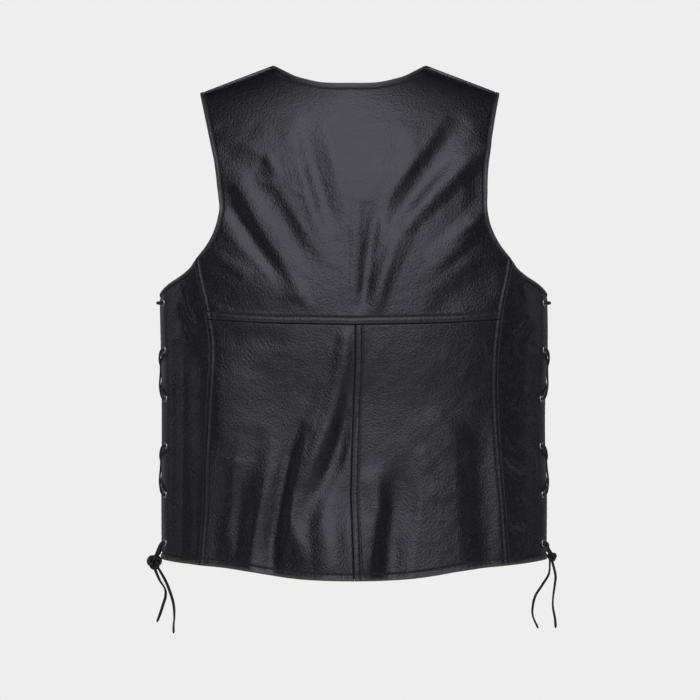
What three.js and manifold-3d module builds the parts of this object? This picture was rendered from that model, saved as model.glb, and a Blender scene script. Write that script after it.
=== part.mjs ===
// A leather vest in the cut of a riding vest, filled out as if worn, with laced sides and a snapped front.
// Millimetres. +Z is up, +Y is the wearer's front and +X the wearer's right.
// The origin lies midway between the two shoulder seams, at their mean height.

import * as THREE from "three";
import { mergeVertices } from "three/addons/utils/BufferGeometryUtils.js";
import Module from "manifold-3d";

const wasm = await Module();
wasm.setup();

// Leather, seams and turned edges
const WALL = 1.8;
const SEAM_GAP = 0.3;
const SEAT_GAP = 0.3; // between a metal piece and the leather that it is set in
const BAND_RISE = 0.8; // how far a lapped or turned edge stands proud
const BAND_STEP = 1; // the slope at the band's inner side
const YOKE_BAND = 6.5;
const PRINCESS_BAND = 5;
const CENTRE_BAND = 9.1;
const HEM_BAND = 8;

// Shoulders: the seam falls in a straight line from the neck point to the shoulder tip
const NECK_HALF = 95;
const NECK_HEIGHT = 17.5;
const TIP_HALF = 187;
const TIP_HEIGHT = -17.5;
const SHOULDER_ROUND = 110; // how far below the seam the body reaches its full depth
const ROUNDNESS = 2.1; // power of the superellipse, 2 for an ellipse

// The torso's half width and depths, and how far the vest hangs to one side, at each height
const TORSO = [
  { z: -626, half: 241.5, back: 117, front: 118, lean: 2.6 },
  { z: -576, half: 241.8, back: 113, front: 117, lean: 2.6 },
  { z: -516, half: 242.2, back: 110, front: 115, lean: 2.6 },
  { z: -456, half: 241, back: 108, front: 114, lean: 1.8 },
  { z: -400, half: 241, back: 109, front: 114, lean: 1.8 },
  { z: -337, half: 242.8, back: 114, front: 117, lean: 2.8 },
  { z: -262, half: 242.6, back: 117, front: 122, lean: 1.8 },
  { z: -212, half: 238, back: 115, front: 121, lean: 1.8 },
  { z: -150, half: 232, back: 108, front: 116, lean: 0.8 },
  { z: -100, half: 228, back: 98, front: 104, lean: -1 },
  { z: -50, half: 226, back: 82, front: 84, lean: -2.4 },
  { z: 18, half: 224, back: 62, front: 58, lean: -3 },
];

// Seam and edge lines. x is the distance from the middle, towards the piece's own side.
const HEM = [
  { angle: 0, z: -616.5 },
  { angle: 8, z: -616 },
  { angle: 16, z: -614.2 },
  { angle: 23, z: -611 },
  { angle: 31, z: -606.3 },
  { angle: 43, z: -602 },
  { angle: 78, z: -597.5 },
  { angle: 120, z: -598 },
  { angle: 200, z: -600 },
];
const CROSS_SEAM = [
  { share: 0, z: -306.7 },
  { share: 0.55, z: -304.6 },
  { share: 1, z: -300.2 },
];
const CENTRE_SEAM = [
  { z: -616, x: 0 },
  { z: -576, x: -1.3 },
  { z: -517, x: -3.7 },
  { z: -483, x: -2.7 },
  { z: -430, x: -0.8 },
  { z: -374, x: 1.1 },
  { z: -306, x: 1.7 },
];
const PRINCESS_SEAM = [
  { z: -601, x: 188.8 },
  { z: -572, x: 187 },
  { z: -526, x: 183.5 },
  { z: -470, x: 179 },
  { z: -411, x: 175.5 },
  { z: -367, x: 174 },
  { z: -334, x: 175 },
  { z: -296, x: 180 },
  { z: -272, x: 184.5 },
  { z: -247, x: 190.5 },
  { z: -227, x: 193.5 },
];
const BACK_ARMHOLE = [
  { z: -227, x: 193.5 },
  { z: -208, x: 178.4 },
  { z: -189, x: 168.8 },
  { z: -169, x: 163.8 },
  { z: -150, x: 164.4 },
  { z: -110, x: 167.8 },
  { z: -69, x: 175.4 },
  { z: -38, x: 182 },
  { z: TIP_HEIGHT, x: TIP_HALF },
];
const UNDERARM = [
  { share: 0, z: -227 },
  { share: 0.09, z: -237 },
  { share: 0.27, z: -246.5 },
  { share: 0.58, z: -256 },
  { share: 0.83, z: -263 },
  { share: 1, z: -267 },
];
const FRONT_ARMHOLE = [
  { z: -267, x: 240.6 },
  { z: -262, x: 229 },
  { z: -250, x: 208 },
  { z: -230, x: 185 },
  { z: -205, x: 168 },
  { z: -175, x: 156 },
  { z: -145, x: 151 },
  { z: -105, x: 153 },
  { z: -65, x: 163 },
  { z: -38, x: 175 },
  { z: TIP_HEIGHT, x: TIP_HALF },
];
const FRONT_EDGE = [
  { z: -600, x: -14 },
  { z: -310, x: -14 },
  { z: -288, x: -11 },
  { z: -262, x: 0 },
  { z: -220, x: 19 },
  { z: -160, x: 42 },
  { z: -100, x: 62 },
  { z: -40, x: 80 },
  { z: NECK_HEIGHT, x: NECK_HALF },
];
const NECKLINE = [
  { x: 0, z: -10 },
  { x: 20, z: -9.8 },
  { x: 37, z: -8.3 },
  { x: 52, z: -4.5 },
  { x: 67, z: 0.5 },
  { x: 82, z: 9 },
  { x: NECK_HALF, z: NECK_HEIGHT },
];

// Soft folds in the leather: from one place to another, half as wide as given to each side.
// A trough has a negative height. Those on the front are like those on the back.
const BACK_FOLDS = [
  { x0: -54, z0: -72, x1: -27, z1: -178, width: 44, height: -3.5 },
  { x0: -150, z0: -150, x1: -76, z1: -256, width: 40, height: -4 },
  { x0: -117, z0: -132, x1: -51, z1: -232, width: 36, height: -3 },
  { x0: 28, z0: -160, x1: 12, z1: -280, width: 36, height: -2.5 },
  { x0: 130, z0: -62, x1: 52, z1: -176, width: 44, height: -4 },
  { x0: -136, z0: -160, x1: -64, z1: -270, width: 30, height: 3 },
  { x0: 160, z0: -92, x1: 66, z1: -184, width: 36, height: 3.5 },
  { x0: 158, z0: -172, x1: 104, z1: -226, width: 40, height: 3 },
  { x0: 64, z0: -190, x1: 24, z1: -284, width: 36, height: 2.5 },
  { x0: 0, z0: -318, x1: -56, z1: -486, width: 56, height: 4 },
  { x0: -8, z0: -424, x1: -54, z1: -540, width: 40, height: -4.5 },
  { x0: -64, z0: -440, x1: -106, z1: -590, width: 44, height: -4 },
  { x0: -116, z0: -450, x1: -142, z1: -600, width: 44, height: -4 },
  { x0: -30, z0: -530, x1: -26, z1: -610, width: 50, height: 4 },
  { x0: 52, z0: -500, x1: 38, z1: -612, width: 40, height: -4 },
  { x0: 150, z0: -440, x1: 156, z1: -590, width: 56, height: -3.5 },
  { x0: -219, z0: -335, x1: -221, z1: -592, width: 26, height: -3.5 },
  { x0: 226, z0: -335, x1: 226, z1: -592, width: 22, height: -3 },
];
const FRONT_FOLDS = [
  { x0: -140, z0: -90, x1: -60, z1: -230, width: 46, height: -4 },
  { x0: 142, z0: -110, x1: 64, z1: -245, width: 44, height: -3.5 },
  { x0: -176, z0: -250, x1: -60, z1: -330, width: 46, height: -4 },
  { x0: 170, z0: -262, x1: 70, z1: -350, width: 40, height: -4.5 },
  { x0: -120, z0: -430, x1: -150, z1: -590, width: 50, height: -4 },
  { x0: 96, z0: -420, x1: 128, z1: -585, width: 46, height: -4.5 },
  { x0: -60, z0: -470, x1: -70, z1: -600, width: 44, height: 4 },
  { x0: 58, z0: -480, x1: 66, z1: -600, width: 44, height: 3.5 },
];

// Lacing down each side
const LACE_GAP_HALF = 18; // from the middle of the side to each laced edge
const EYELET_INSET = 13; // from the laced edge to the eyelets' centres
const EYELET_HEIGHTS = [-279, -337, -397.5, -456, -516, -576];
const EYELET = { hole: 2.9, barrel: 3.4, flange: 4.6, lip: 0.7, sides: 8 };
const EYELET_BACK_GAP = 0.5; // the leather bends away from the barrel's rolled end
const PUNCHED_RADIUS = 3.9;
const LACE_DIAMETER = 2.6;
const LACE_SIDES = 8;

// Snaps down the front
const SNAP_HEIGHTS = [-305, -393, -481, -569];
const SNAP = { cap: 7.5, capHeight: 2.6, back: 6, backHeight: 1.8, sides: 10 };
const UNDERLAP = 3.2; // how far the under front steps in below the upper one
const SNAP_FRONT = SEAT_GAP; // the caps' height above the upper front's face, and the backs'
const SNAP_BEHIND = -UNDERLAP - WALL - 0.5;
const UNDERLAP_FROM = 50; // distances from the middle where that step starts and ends
const UNDERLAP_TO = 18;
const UNDERLAP_FADE = 60; // how far up the V neck it dies out

const COLOURS = { leather: 0x2b2a30, lace: 0x232226, nickel: 0xb9babd };
const SIDES = [
  { name: "left", sign: -1 },
  { name: "right", sign: 1 },
];

const mix = (a, b, share) => a + (b - a) * share;
const radians = THREE.MathUtils.degToRad;
const degrees = THREE.MathUtils.radToDeg;

// A smooth curve through a table's rows, of one column against another that rises down the table.
function curve(rows, from, to) {
  const a = rows.map((row) => row[from]);
  const b = rows.map((row) => row[to]);
  const last = a.length - 1;
  const slope = a.map((_, i) => {
    const before = Math.max(i - 1, 0);
    const after = Math.min(i + 1, last);
    return (b[after] - b[before]) / (a[after] - a[before]);
  });
  return (value) => {
    const at = THREE.MathUtils.clamp(value, a[0], a[last]);
    const i = Math.max(a.findIndex((v) => v >= at), 1);
    const run = a[i] - a[i - 1];
    const t = (at - a[i - 1]) / run;
    return (
      (2 * t ** 3 - 3 * t ** 2 + 1) * b[i - 1] +
      (t ** 3 - 2 * t ** 2 + t) * run * slope[i - 1] +
      (3 * t ** 2 - 2 * t ** 3) * b[i] +
      (t ** 3 - t ** 2) * run * slope[i]
    );
  };
}

const halfWidth = curve(TORSO, "z", "half");
const backDepth = curve(TORSO, "z", "back");
const frontDepth = curve(TORSO, "z", "front");
const lean = curve(TORSO, "z", "lean");
const hem = curve(HEM, "angle", "z");
const crossSeam = curve(CROSS_SEAM, "share", "z");
const centreSeam = curve(CENTRE_SEAM, "z", "x");
const princessSeam = curve(PRINCESS_SEAM, "z", "x");
const backArmhole = curve(BACK_ARMHOLE, "z", "x");
const frontArmhole = curve(FRONT_ARMHOLE, "z", "x");
const underarm = curve(UNDERARM, "share", "z");
const frontEdge = curve(FRONT_EDGE, "z", "x");
const neckline = curve(NECKLINE, "x", "z");

const PRINCESS_ANGLE = 50; // about where the princess seams reach the hem
const LACED_ANGLE = 81; // about where the laced edges do
const ARMPIT = BACK_ARMHOLE[0].z; // where the princess seam meets the armhole
const LACED_TOP = UNDERARM.at(-1).z;

// The body that the leather is wrapped round. At each height it is a superellipse, and near the
// shoulder seams its depth closes to nothing along a second one. An angle of 0 is the middle of the
// back, 90 the wearer's right side and 180 the middle of the front.
const closing = (share) => (1 - Math.min(Math.abs(share), 1) ** ROUNDNESS) ** (1 / ROUNDNESS);
const SHOULDER_SLOPE = (TIP_HEIGHT - NECK_HEIGHT) / (TIP_HALF - NECK_HALF);
const shoulderHeight = (x) => NECK_HEIGHT + SHOULDER_SLOPE * (Math.abs(x) - NECK_HALF);
const roofShare = (x, z) => 1 - THREE.MathUtils.clamp((shoulderHeight(x) - z) / SHOULDER_ROUND, 0, 1);

const angleAcross = (x, z) => {
  const k = x / halfWidth(z);
  return degrees(Math.atan2(k, closing(k)));
};
const angleInDepth = (y, z, depth) => {
  const q = y / depth(z);
  return degrees(Math.atan2(closing(q), q));
};

// The two shares of an angle: of the half width and of the depth.
function shares(angle) {
  const sine = Math.sin(radians(angle));
  const cosine = Math.cos(radians(angle));
  const reach = (Math.abs(sine) ** ROUNDNESS + Math.abs(cosine) ** ROUNDNESS) ** (-1 / ROUNDNESS);
  return { across: sine * reach, deep: cosine * reach };
}

// The height on the shoulder line or neckline straight above an angle.
function topHeight(angle, line) {
  let z = NECK_HEIGHT;
  for (let i = 0; i < 8; i++) z = line(Math.abs(halfWidth(z) * shares(angle).across));
  return z;
}

function bodyPoint(angle, z) {
  const { across, deep } = shares(angle);
  const x = halfWidth(z) * across;
  const depth = deep > 0 ? backDepth(z) : frontDepth(z);
  const y = -deep * depth * closing(roofShare(x, z));
  return new THREE.Vector3(x + lean(z), y, z);
}

// The outward direction: the gradient of (x / half width)^p + (y / depth)^p.
function bodyNormal(angle, z) {
  const { across, deep } = shares(angle);
  const half = halfWidth(z);
  const x = half * across;
  const depthAt = deep > 0 ? backDepth : frontDepth;
  const k = Math.abs(across);
  const q = Math.abs(deep);
  const roof = Math.min(roofShare(x, z), 0.99999);
  const closed = closing(roof);
  const closingRate = roof ** (ROUNDNESS - 1) / (closed ** ROUNDNESS * SHOULDER_ROUND);
  const rate = (f) => (f(z + 1) - f(z - 1)) / (2 * f(z));
  const kp = k ** ROUNDNESS;
  const qp = q ** ROUNDNESS;
  return new THREE.Vector3(
    Math.sign(across) * (k ** (ROUNDNESS - 1) / half - qp * closingRate * SHOULDER_SLOPE),
    (-Math.sign(deep) * q ** (ROUNDNESS - 1)) / (depthAt(z) * closed),
    -kp * rate(halfWidth) - qp * (rate(depthAt) - closingRate),
  ).normalize();
}

// How far the folds lift the leather at a point.
function foldLift(point) {
  let lift = 0;
  for (const fold of point.y < 0 ? BACK_FOLDS : FRONT_FOLDS) {
    const dx = fold.x1 - fold.x0;
    const dz = fold.z1 - fold.z0;
    const along = ((point.x - fold.x0) * dx + (point.z - fold.z0) * dz) / (dx * dx + dz * dz);
    const at = THREE.MathUtils.clamp(along, 0, 1);
    const off = Math.hypot(point.x - fold.x0 - dx * at, point.z - fold.z0 - dz * at);
    const share = Math.min(off / (fold.width / 2), 1);
    lift += fold.height * (1 - share * share) ** 2 * (1 - 0.5 * (2 * at - 1) ** 2);
  }
  // The lift dies out towards the shoulder seams and the laced edges.
  const roof = THREE.MathUtils.smoothstep(-point.z, 20, 70);
  const side = THREE.MathUtils.smoothstep(Math.abs(point.y), LACE_GAP_HALF + EYELET_INSET + 6, 60);
  return lift * roof * side;
}

// Grid lines across a length: one at each mark and evenly between, no further apart than the pitch.
function gridLines(length, marks, pitch) {
  const stops = [0, ...marks, length];
  const lines = [0];
  for (let i = 1; i < stops.length; i++) {
    const count = Math.ceil((stops[i] - stops[i - 1]) / pitch);
    for (let j = 1; j <= count; j++) lines.push(mix(stops[i - 1], stops[i], j / count) / length);
  }
  return lines;
}

// Draws a grid's edges in by half a seam gap.
function drawIn(points, columns, rows) {
  const at = (i, j) => points[i * columns + j];
  const pull = (edge, next) => {
    const way = next.clone().sub(edge);
    edge.addScaledVector(way, SEAM_GAP / 2 / way.length());
  };
  for (let i = 0; i < rows; i++) {
    pull(at(i, 0), at(i, 1));
    pull(at(i, columns - 1), at(i, columns - 2));
  }
  for (let j = 0; j < columns; j++) {
    pull(at(0, j), at(1, j));
    pull(at(rows - 1, j), at(rows - 2, j));
  }
}

// A leather panel: a wall on the body over a grid. place gives the angle and height at two shares,
// across and up, and how far the panel is sunk there. rise says which of it stands proud.
function panel({ across, up, sign, place, rise }) {
  const outer = [];
  const inner = [];
  for (const v of up) {
    for (const u of across) {
      const { angle, z, sunk = 0 } = place(u, v);
      const point = bodyPoint(angle, z);
      const normal = bodyNormal(angle, z);
      const lift = foldLift(point) - sunk;
      outer.push(point.clone().addScaledVector(normal, lift + (rise(u, v) ? BAND_RISE : 0)));
      inner.push(point.clone().addScaledVector(normal, lift - WALL));
    }
  }
  const columns = across.length;
  const rows = up.length;
  drawIn(outer, columns, rows);
  drawIn(inner, columns, rows);

  const size = columns * rows;
  const faces = [];
  const quad = (a, b, c, d) => faces.push(a, b, c, a, c, d);
  const at = (i, j) => i * columns + j;
  for (let i = 0; i < rows - 1; i++) {
    for (let j = 0; j < columns - 1; j++) {
      quad(at(i, j), at(i, j + 1), at(i + 1, j + 1), at(i + 1, j));
      quad(size + at(i, j), size + at(i + 1, j), size + at(i + 1, j + 1), size + at(i, j + 1));
    }
  }
  const rim = [];
  for (let j = 0; j < columns - 1; j++) rim.push(at(0, j));
  for (let i = 0; i < rows - 1; i++) rim.push(at(i, columns - 1));
  for (let j = columns - 1; j > 0; j--) rim.push(at(rows - 1, j));
  for (let i = rows - 1; i > 0; i--) rim.push(at(i, 0));
  rim.forEach((a, i) => {
    const b = rim[(i + 1) % rim.length];
    quad(b, a, size + a, size + b);
  });
  if (sign < 0) faces.reverse();
  return new THREE.BufferGeometry().setFromPoints([...outer, ...inner]).setIndex(faces);
}

function solidFrom(geometry) {
  const bare = geometry.clone();
  bare.deleteAttribute("normal");
  bare.deleteAttribute("uv");
  const merged = mergeVertices(bare, 1e-4);
  return new wasm.Manifold(
    new wasm.Mesh({
      numProp: 3,
      vertProperties: merged.attributes.position.array,
      triVerts: new Uint32Array(merged.index.array),
    }),
  );
}

function geometryFrom(solid) {
  const { vertProperties, triVerts } = solid.getMesh();
  return new THREE.BufferGeometry()
    .setAttribute("position", new THREE.BufferAttribute(vertProperties, 3))
    .setIndex(new THREE.BufferAttribute(triVerts, 1));
}

// The turn and place that stand a piece made along +Z on the body, at a height above it.
function seat(angle, z, height) {
  const normal = bodyNormal(angle, z);
  const point = bodyPoint(angle, z);
  point.addScaledVector(normal, foldLift(point) + height);
  const turn = new THREE.Quaternion().setFromUnitVectors(new THREE.Vector3(0, 0, 1), normal);
  return new THREE.Matrix4().compose(point, turn, new THREE.Vector3(1, 1, 1));
}

function revolved(profile, sides) {
  const points = profile.map(([radius, height]) => new THREE.Vector2(radius, height));
  return new THREE.LatheGeometry([...points, points[0]], sides).rotateX(Math.PI / 2);
}

// Angles of the laced edges and of the eyelets beside them
const edgeAngle = (z, part) => {
  const angle = angleInDepth(LACE_GAP_HALF, z, part === "back" ? backDepth : frontDepth);
  return part === "back" ? angle : 180 - angle;
};
const eyeletAngle = (z, part) => {
  const depth = part === "back" ? backDepth : frontDepth;
  const angle = angleInDepth(LACE_GAP_HALF + EYELET_INSET, z, depth);
  return part === "back" ? angle : 180 - angle;
};

const group = new THREE.Group();
const leather = () => new THREE.MeshStandardMaterial({ color: COLOURS.leather, roughness: 0.5 });
const laceLeather = () => new THREE.MeshStandardMaterial({ color: COLOURS.lace, roughness: 0.6 });
const nickel = () =>
  new THREE.MeshStandardMaterial({ color: COLOURS.nickel, roughness: 0.25, metalness: 1 });

function add(name, geometry, material) {
  const mesh = new THREE.Mesh(geometry, material);
  mesh.name = name;
  group.add(mesh);
}

// Grid lines shared by neighbours, so that their edges run side by side
const YOKE_HALF = 180; // the yoke's half width along the cross seam
const YOKE_TALL = TIP_HEIGHT - crossSeam(1);
const LOWER_TALL = crossSeam(1) - hem(PRINCESS_ANGLE);
const SIDE_TALL = ARMPIT - hem(PRINCESS_ANGLE);
const NECK_SHARE =
  angleAcross(NECK_HALF, NECK_HEIGHT) / angleAcross(TIP_HALF, TIP_HEIGHT);
const halfColumns = gridLines(
  YOKE_HALF,
  [NECK_SHARE * YOKE_HALF, YOKE_HALF - PRINCESS_BAND - BAND_STEP, YOKE_HALF - PRINCESS_BAND],
  19,
);
const backColumns = [
  ...gridLines(YOKE_HALF, [CENTRE_BAND, CENTRE_BAND + BAND_STEP], YOKE_HALF).slice(0, 3),
  ...halfColumns.slice(1),
];
const lowerRows = gridLines(LOWER_TALL, [HEM_BAND, HEM_BAND + BAND_STEP], 25);
const yokeRows = gridLines(
  YOKE_TALL,
  [
    YOKE_BAND,
    YOKE_BAND + BAND_STEP,
    ARMPIT - crossSeam(1),
    ...[90, 64, 44, 28, 16, 7, 2.2].map((drop) => YOKE_TALL - drop),
  ],
  26,
);
const sideRows = [
  ...lowerRows.map((v) => (v * LOWER_TALL) / SIDE_TALL),
  ...yokeRows
    .map((v) => v * YOKE_TALL)
    .filter((rise) => rise > YOKE_BAND + BAND_STEP && rise < ARMPIT - crossSeam(1) + 0.1)
    .map((rise) => (LOWER_TALL + rise) / SIDE_TALL),
];

const inPrincessBand = (u) => Math.abs(u) * YOKE_HALF >= YOKE_HALF - PRINCESS_BAND - 0.01;
const inHemBand = (v, tall) => v * tall <= HEM_BAND + 0.01;

// The yoke, from the cross seam up to the neckline and shoulder seams
function yoke() {
  const edge = (v) => {
    const z = mix(crossSeam(1), TIP_HEIGHT, v);
    return angleAcross(z > ARMPIT ? backArmhole(z) : princessSeam(z), z);
  };
  const topLine = (x) => (x < NECK_HALF ? neckline(x) : shoulderHeight(x));
  return panel({
    across: [...halfColumns.slice(1).reverse().map((u) => -u), ...halfColumns],
    up: yokeRows,
    sign: 1,
    place: (u, v) => ({
      angle: u * edge(v),
      z: mix(crossSeam(Math.abs(u)), topHeight(u * edge(1), topLine), v),
    }),
    rise: (u, v) => inPrincessBand(u) || v * YOKE_TALL <= YOKE_BAND + 0.01,
  });
}

// A lower back piece, from the centre seam out to the princess seam. The right one laps the left.
function lowerBack({ sign }) {
  const centre = (v) => {
    const z = mix(hem(0), crossSeam(0), v);
    return angleAcross(centreSeam(z), z);
  };
  const princess = (v) => {
    const z = mix(hem(PRINCESS_ANGLE), crossSeam(1), v);
    return sign * angleAcross(princessSeam(z), z);
  };
  const angle = (u, v) => mix(centre(v), princess(v), u);
  return panel({
    across: backColumns,
    up: lowerRows,
    sign,
    place: (u, v) => ({
      angle: angle(u, v),
      z: mix(hem(Math.abs(angle(u, 0))), crossSeam(u), v),
    }),
    rise: (u, v) =>
      inPrincessBand(u) ||
      inHemBand(v, LOWER_TALL) ||
      (sign > 0 && u * YOKE_HALF <= CENTRE_BAND + 0.01),
  });
}

// A side back piece, from the princess seam round to the laced edge
function sideBack({ sign }) {
  const angle = (u, v) => {
    const seamZ = mix(hem(PRINCESS_ANGLE), ARMPIT, v);
    const lacedZ = mix(hem(LACED_ANGLE), LACED_TOP, v);
    return mix(angleAcross(princessSeam(seamZ), seamZ), edgeAngle(lacedZ, "back"), u);
  };
  return panel({
    across: [0, 0.12, 0.27, 0.44, 0.61, 0.76, 0.88, 1],
    up: sideRows,
    sign,
    place: (u, v) => ({ angle: sign * angle(u, v), z: mix(hem(angle(u, 0)), underarm(u), v) }),
    rise: (u, v) => inHemBand(v, SIDE_TALL),
  });
}

// A front, from the laced edge to the middle, up to the armhole, shoulder seam and V neck
const FRONT_TALL = TIP_HEIGHT - hem(180 - LACED_ANGLE);
const frontRows = gridLines(
  FRONT_TALL,
  [
    HEM_BAND,
    HEM_BAND + BAND_STEP,
    ...[0, 5, 14, 27, 45].map((rise) => LACED_TOP - hem(180 - LACED_ANGLE) + rise),
    ...[70, 46, 28, 16, 7, 2.2].map((drop) => FRONT_TALL - drop),
  ],
  36,
);
function front({ sign }) {
  const outerAngle = (v) => {
    const z = mix(hem(180 - LACED_ANGLE), TIP_HEIGHT, v);
    return z <= LACED_TOP + 0.01 ? edgeAngle(z, "front") : 180 - angleAcross(frontArmhole(z), z);
  };
  const middleAngle = (v) => {
    const z = mix(hem(180), NECK_HEIGHT, v);
    return 180 - angleAcross(frontEdge(z), z);
  };
  const angle = (u, v) => mix(outerAngle(v), middleAngle(v), u);
  return panel({
    across: [0, 0.045, 0.09, 0.2, 0.32, 0.45, 0.58, 0.71, 0.83, 0.93, 1],
    up: frontRows,
    sign,
    place: (u, v) => {
      const turned = angle(u, v);
      const z = mix(hem(angle(u, 0)), topHeight(angle(u, 1), shoulderHeight), v);
      const fromMiddle = halfWidth(z) * shares(turned).across;
      const under = 1 - THREE.MathUtils.smoothstep(fromMiddle, UNDERLAP_TO, UNDERLAP_FROM);
      const closed = 1 - THREE.MathUtils.smoothstep(z, LACED_TOP, LACED_TOP + UNDERLAP_FADE);
      return { angle: sign * turned, z, sunk: sign > 0 ? UNDERLAP * under * closed : 0 };
    },
    rise: (u, v) => inHemBand(v, FRONT_TALL),
  });
}

// Punches the eyelets' holes through a panel
function punched(geometry, sign, part) {
  let solid = solidFrom(geometry);
  for (const z of EYELET_HEIGHTS) {
    const punch = new THREE.CylinderGeometry(PUNCHED_RADIUS, PUNCHED_RADIUS, 16, 10);
    punch.rotateX(Math.PI / 2).applyMatrix4(seat(sign * eyeletAngle(z, part), z, 0));
    solid = solid.subtract(solidFrom(punch));
  }
  return geometryFrom(solid);
}

// A metal eyelet: a flange on the leather's face, a barrel through it and a rolled end behind it
function eyelet() {
  const face = SEAT_GAP;
  const back = -WALL - EYELET_BACK_GAP;
  return revolved(
    [
      [EYELET.hole, back - EYELET.lip],
      [EYELET.barrel + 0.8, back - EYELET.lip],
      [EYELET.barrel + 0.8, back],
      [EYELET.barrel, back],
      [EYELET.barrel, face],
      [EYELET.flange, face],
      [EYELET.flange - 0.4, face + EYELET.lip],
      [EYELET.hole, face + EYELET.lip],
    ],
    EYELET.sides,
  );
}

function snapCap() {
  return revolved(
    [
      [0, 0],
      [SNAP.cap, 0],
      [SNAP.cap, 0.8],
      [SNAP.cap * 0.72, SNAP.capHeight - 0.4],
      [0, SNAP.capHeight],
    ],
    SNAP.sides,
  );
}

function snapBack() {
  return revolved(
    [
      [0, -SNAP.backHeight],
      [SNAP.back, -SNAP.backHeight],
      [SNAP.back, 0],
      [0, 0],
    ],
    SNAP.sides,
  );
}

// A curve through listed places whose steps end at the places, so that none of them is cut off.
class PlacedCurve extends THREE.CatmullRomCurve3 {
  constructor(points) {
    super(points, false, "centripetal");
  }
  getPointAt(share, target) {
    return this.getPoint(share, target);
  }
  getTangentAt(share, target) {
    return this.getTangent(share, target);
  }
}

function cord(points, stepsBetween = 1) {
  const section = new THREE.Shape();
  for (let i = 0; i < LACE_SIDES; i++) {
    const turn = ((i + 0.5) / LACE_SIDES) * 2 * Math.PI;
    const corner = [Math.cos(turn) * (LACE_DIAMETER / 2), Math.sin(turn) * (LACE_DIAMETER / 2)];
    if (i === 0) section.moveTo(...corner);
    else section.lineTo(...corner);
  }
  section.closePath();
  return new THREE.ExtrudeGeometry(section, {
    steps: (points.length - 1) * stepsBetween,
    extrudePath: new PlacedCurve(points),
  });
}

// A place on the body at a height above the leather's face
const overLeather = (angle, z, height) =>
  new THREE.Vector3().applyMatrix4(seat(angle, z, height));

// A lace's middle line: its heights above the leather's face at an eyelet and where it leaves the
// laced edge, and how far inside the body's half width the two strands of a cross pass
const OUTSIDE = { eyelet: 2.8, edge: 2, upper: 0.2, lower: 3.1, bar: 1 };
const INSIDE = { eyelet: -5, edge: -4.4, upper: 5.2, lower: 8.1 };
const EDGE_SHARE = EYELET_INSET / (2 * (EYELET_INSET + LACE_GAP_HALF));

// One strand: down the side from row to row, in through one eyelet and out through the next
function strand(sign, startPart, layer) {
  const points = [];
  const last = EYELET_HEIGHTS.length - 1;
  let part = startPart;
  let from = OUTSIDE;
  EYELET_HEIGHTS.forEach((z, row) => {
    const to = from === OUTSIDE ? INSIDE : OUTSIDE;
    for (const way of [from, to]) {
      points.push(overLeather(sign * eyeletAngle(z, part), z, way.eyelet));
    }
    if (row < last) {
      const next = EYELET_HEIGHTS[row + 1];
      const other = part === "back" ? "front" : "back";
      const leaving = mix(z, next, EDGE_SHARE);
      const middle = mix(z, next, 0.5);
      const reaching = mix(next, z, EDGE_SHARE);
      points.push(overLeather(sign * edgeAngle(leaving, part), leaving, to.edge));
      points.push(new THREE.Vector3(sign * (halfWidth(middle) - to[layer]) + lean(middle), 0, middle));
      points.push(overLeather(sign * edgeAngle(reaching, other), reaching, to.edge));
      part = other;
    }
    from = to;
  });
  return { points, part };
}

// The knots, as trefoils of the lace with a lobe straight down, and the free ends as they hang in the
// photograph. A turn counts in degrees along the knot's own line, from the lowest lobe.
const KNOTS = {
  left: { centre: [-247, 0, -602.5], radius: 4.9, tube: 1.7 },
  right: { centre: [250, 0, -596], radius: 3.1, tube: 1.15 },
};
const KNOT_GAP = 0.9; // from a knot to the flat end of a lace that comes out of it
// The strands to a knot: where they leave the leather below the lowest eyelets, and how far apart
// from the middle and how far above the knot they come together
const TIE = { below: 4, apart: 6.5, above: 7 };
const KNOT_DEPTH = 1.35; // how much thicker than a plain trefoil a knot is, front to back
const KNOT_TOP = { front: 180, back: 540 }; // turns where the strands of the lacing come in
const LACE_ENDS = {
  left: [
    {
      turn: 0,
      places: [
        [-240.5, 2, -625.5],
        [-234, 4, -636.6],
        [-233.4, 5, -645.5],
        [-236.3, 5, -655.6],
        [-240.6, 4, -669],
        [-244, 3, -677.9],
      ],
    },
    {
      turn: 37,
      places: [
        [-232.9, -4, -625.5],
        [-227.3, -5, -638.8],
        [-222.8, -5, -654.5],
        [-221.8, -4, -670],
        [-222.8, -3, -681.3],
        [-222.8, -3, -691.3],
      ],
    },
  ],
  right: [
    {
      turn: -37,
      places: [
        [246.3, 3, -617.5],
        [238.6, 5, -631],
        [229.6, 6, -645.5],
        [226.3, 6, -658.8],
        [226.3, 5, -670],
        [233, 4, -685.8],
      ],
    },
    {
      turn: 0,
      places: [
        [254.3, -2, -619.9],
        [253.2, -3, -631],
        [250.9, -4, -647.8],
        [250.9, -4, -658.9],
        [253.6, -3, -673.5],
        [254.3, -3, -684.6],
      ],
    },
  ],
};

const knotFrame = (name) =>
  new THREE.Matrix4()
    .makeTranslation(...KNOTS[name].centre)
    .multiply(new THREE.Matrix4().makeRotationY(Math.PI / 2))
    .multiply(new THREE.Matrix4().makeRotationX(Math.PI / 2))
    .scale(new THREE.Vector3(1, 1, KNOT_DEPTH));

// The knot's middle line: twice round its centre while it goes three times over and under.
function knotPoint(name, turn) {
  const { radius } = KNOTS[name];
  const around = radians(turn);
  const through = 1.5 * around;
  const reach = (radius * (2 + Math.cos(through))) / 2;
  const local = [reach * Math.cos(around), reach * Math.sin(around), (radius * Math.sin(through)) / 2];
  return new THREE.Vector3(...local).applyMatrix4(knotFrame(name));
}

// Where a lace comes out of a knot on its way to a place
function outOfKnot(name, turn, place) {
  const from = knotPoint(name, turn);
  const way = place.clone().sub(from).normalize();
  return from.addScaledVector(way, KNOTS[name].tube + KNOT_GAP);
}

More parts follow.
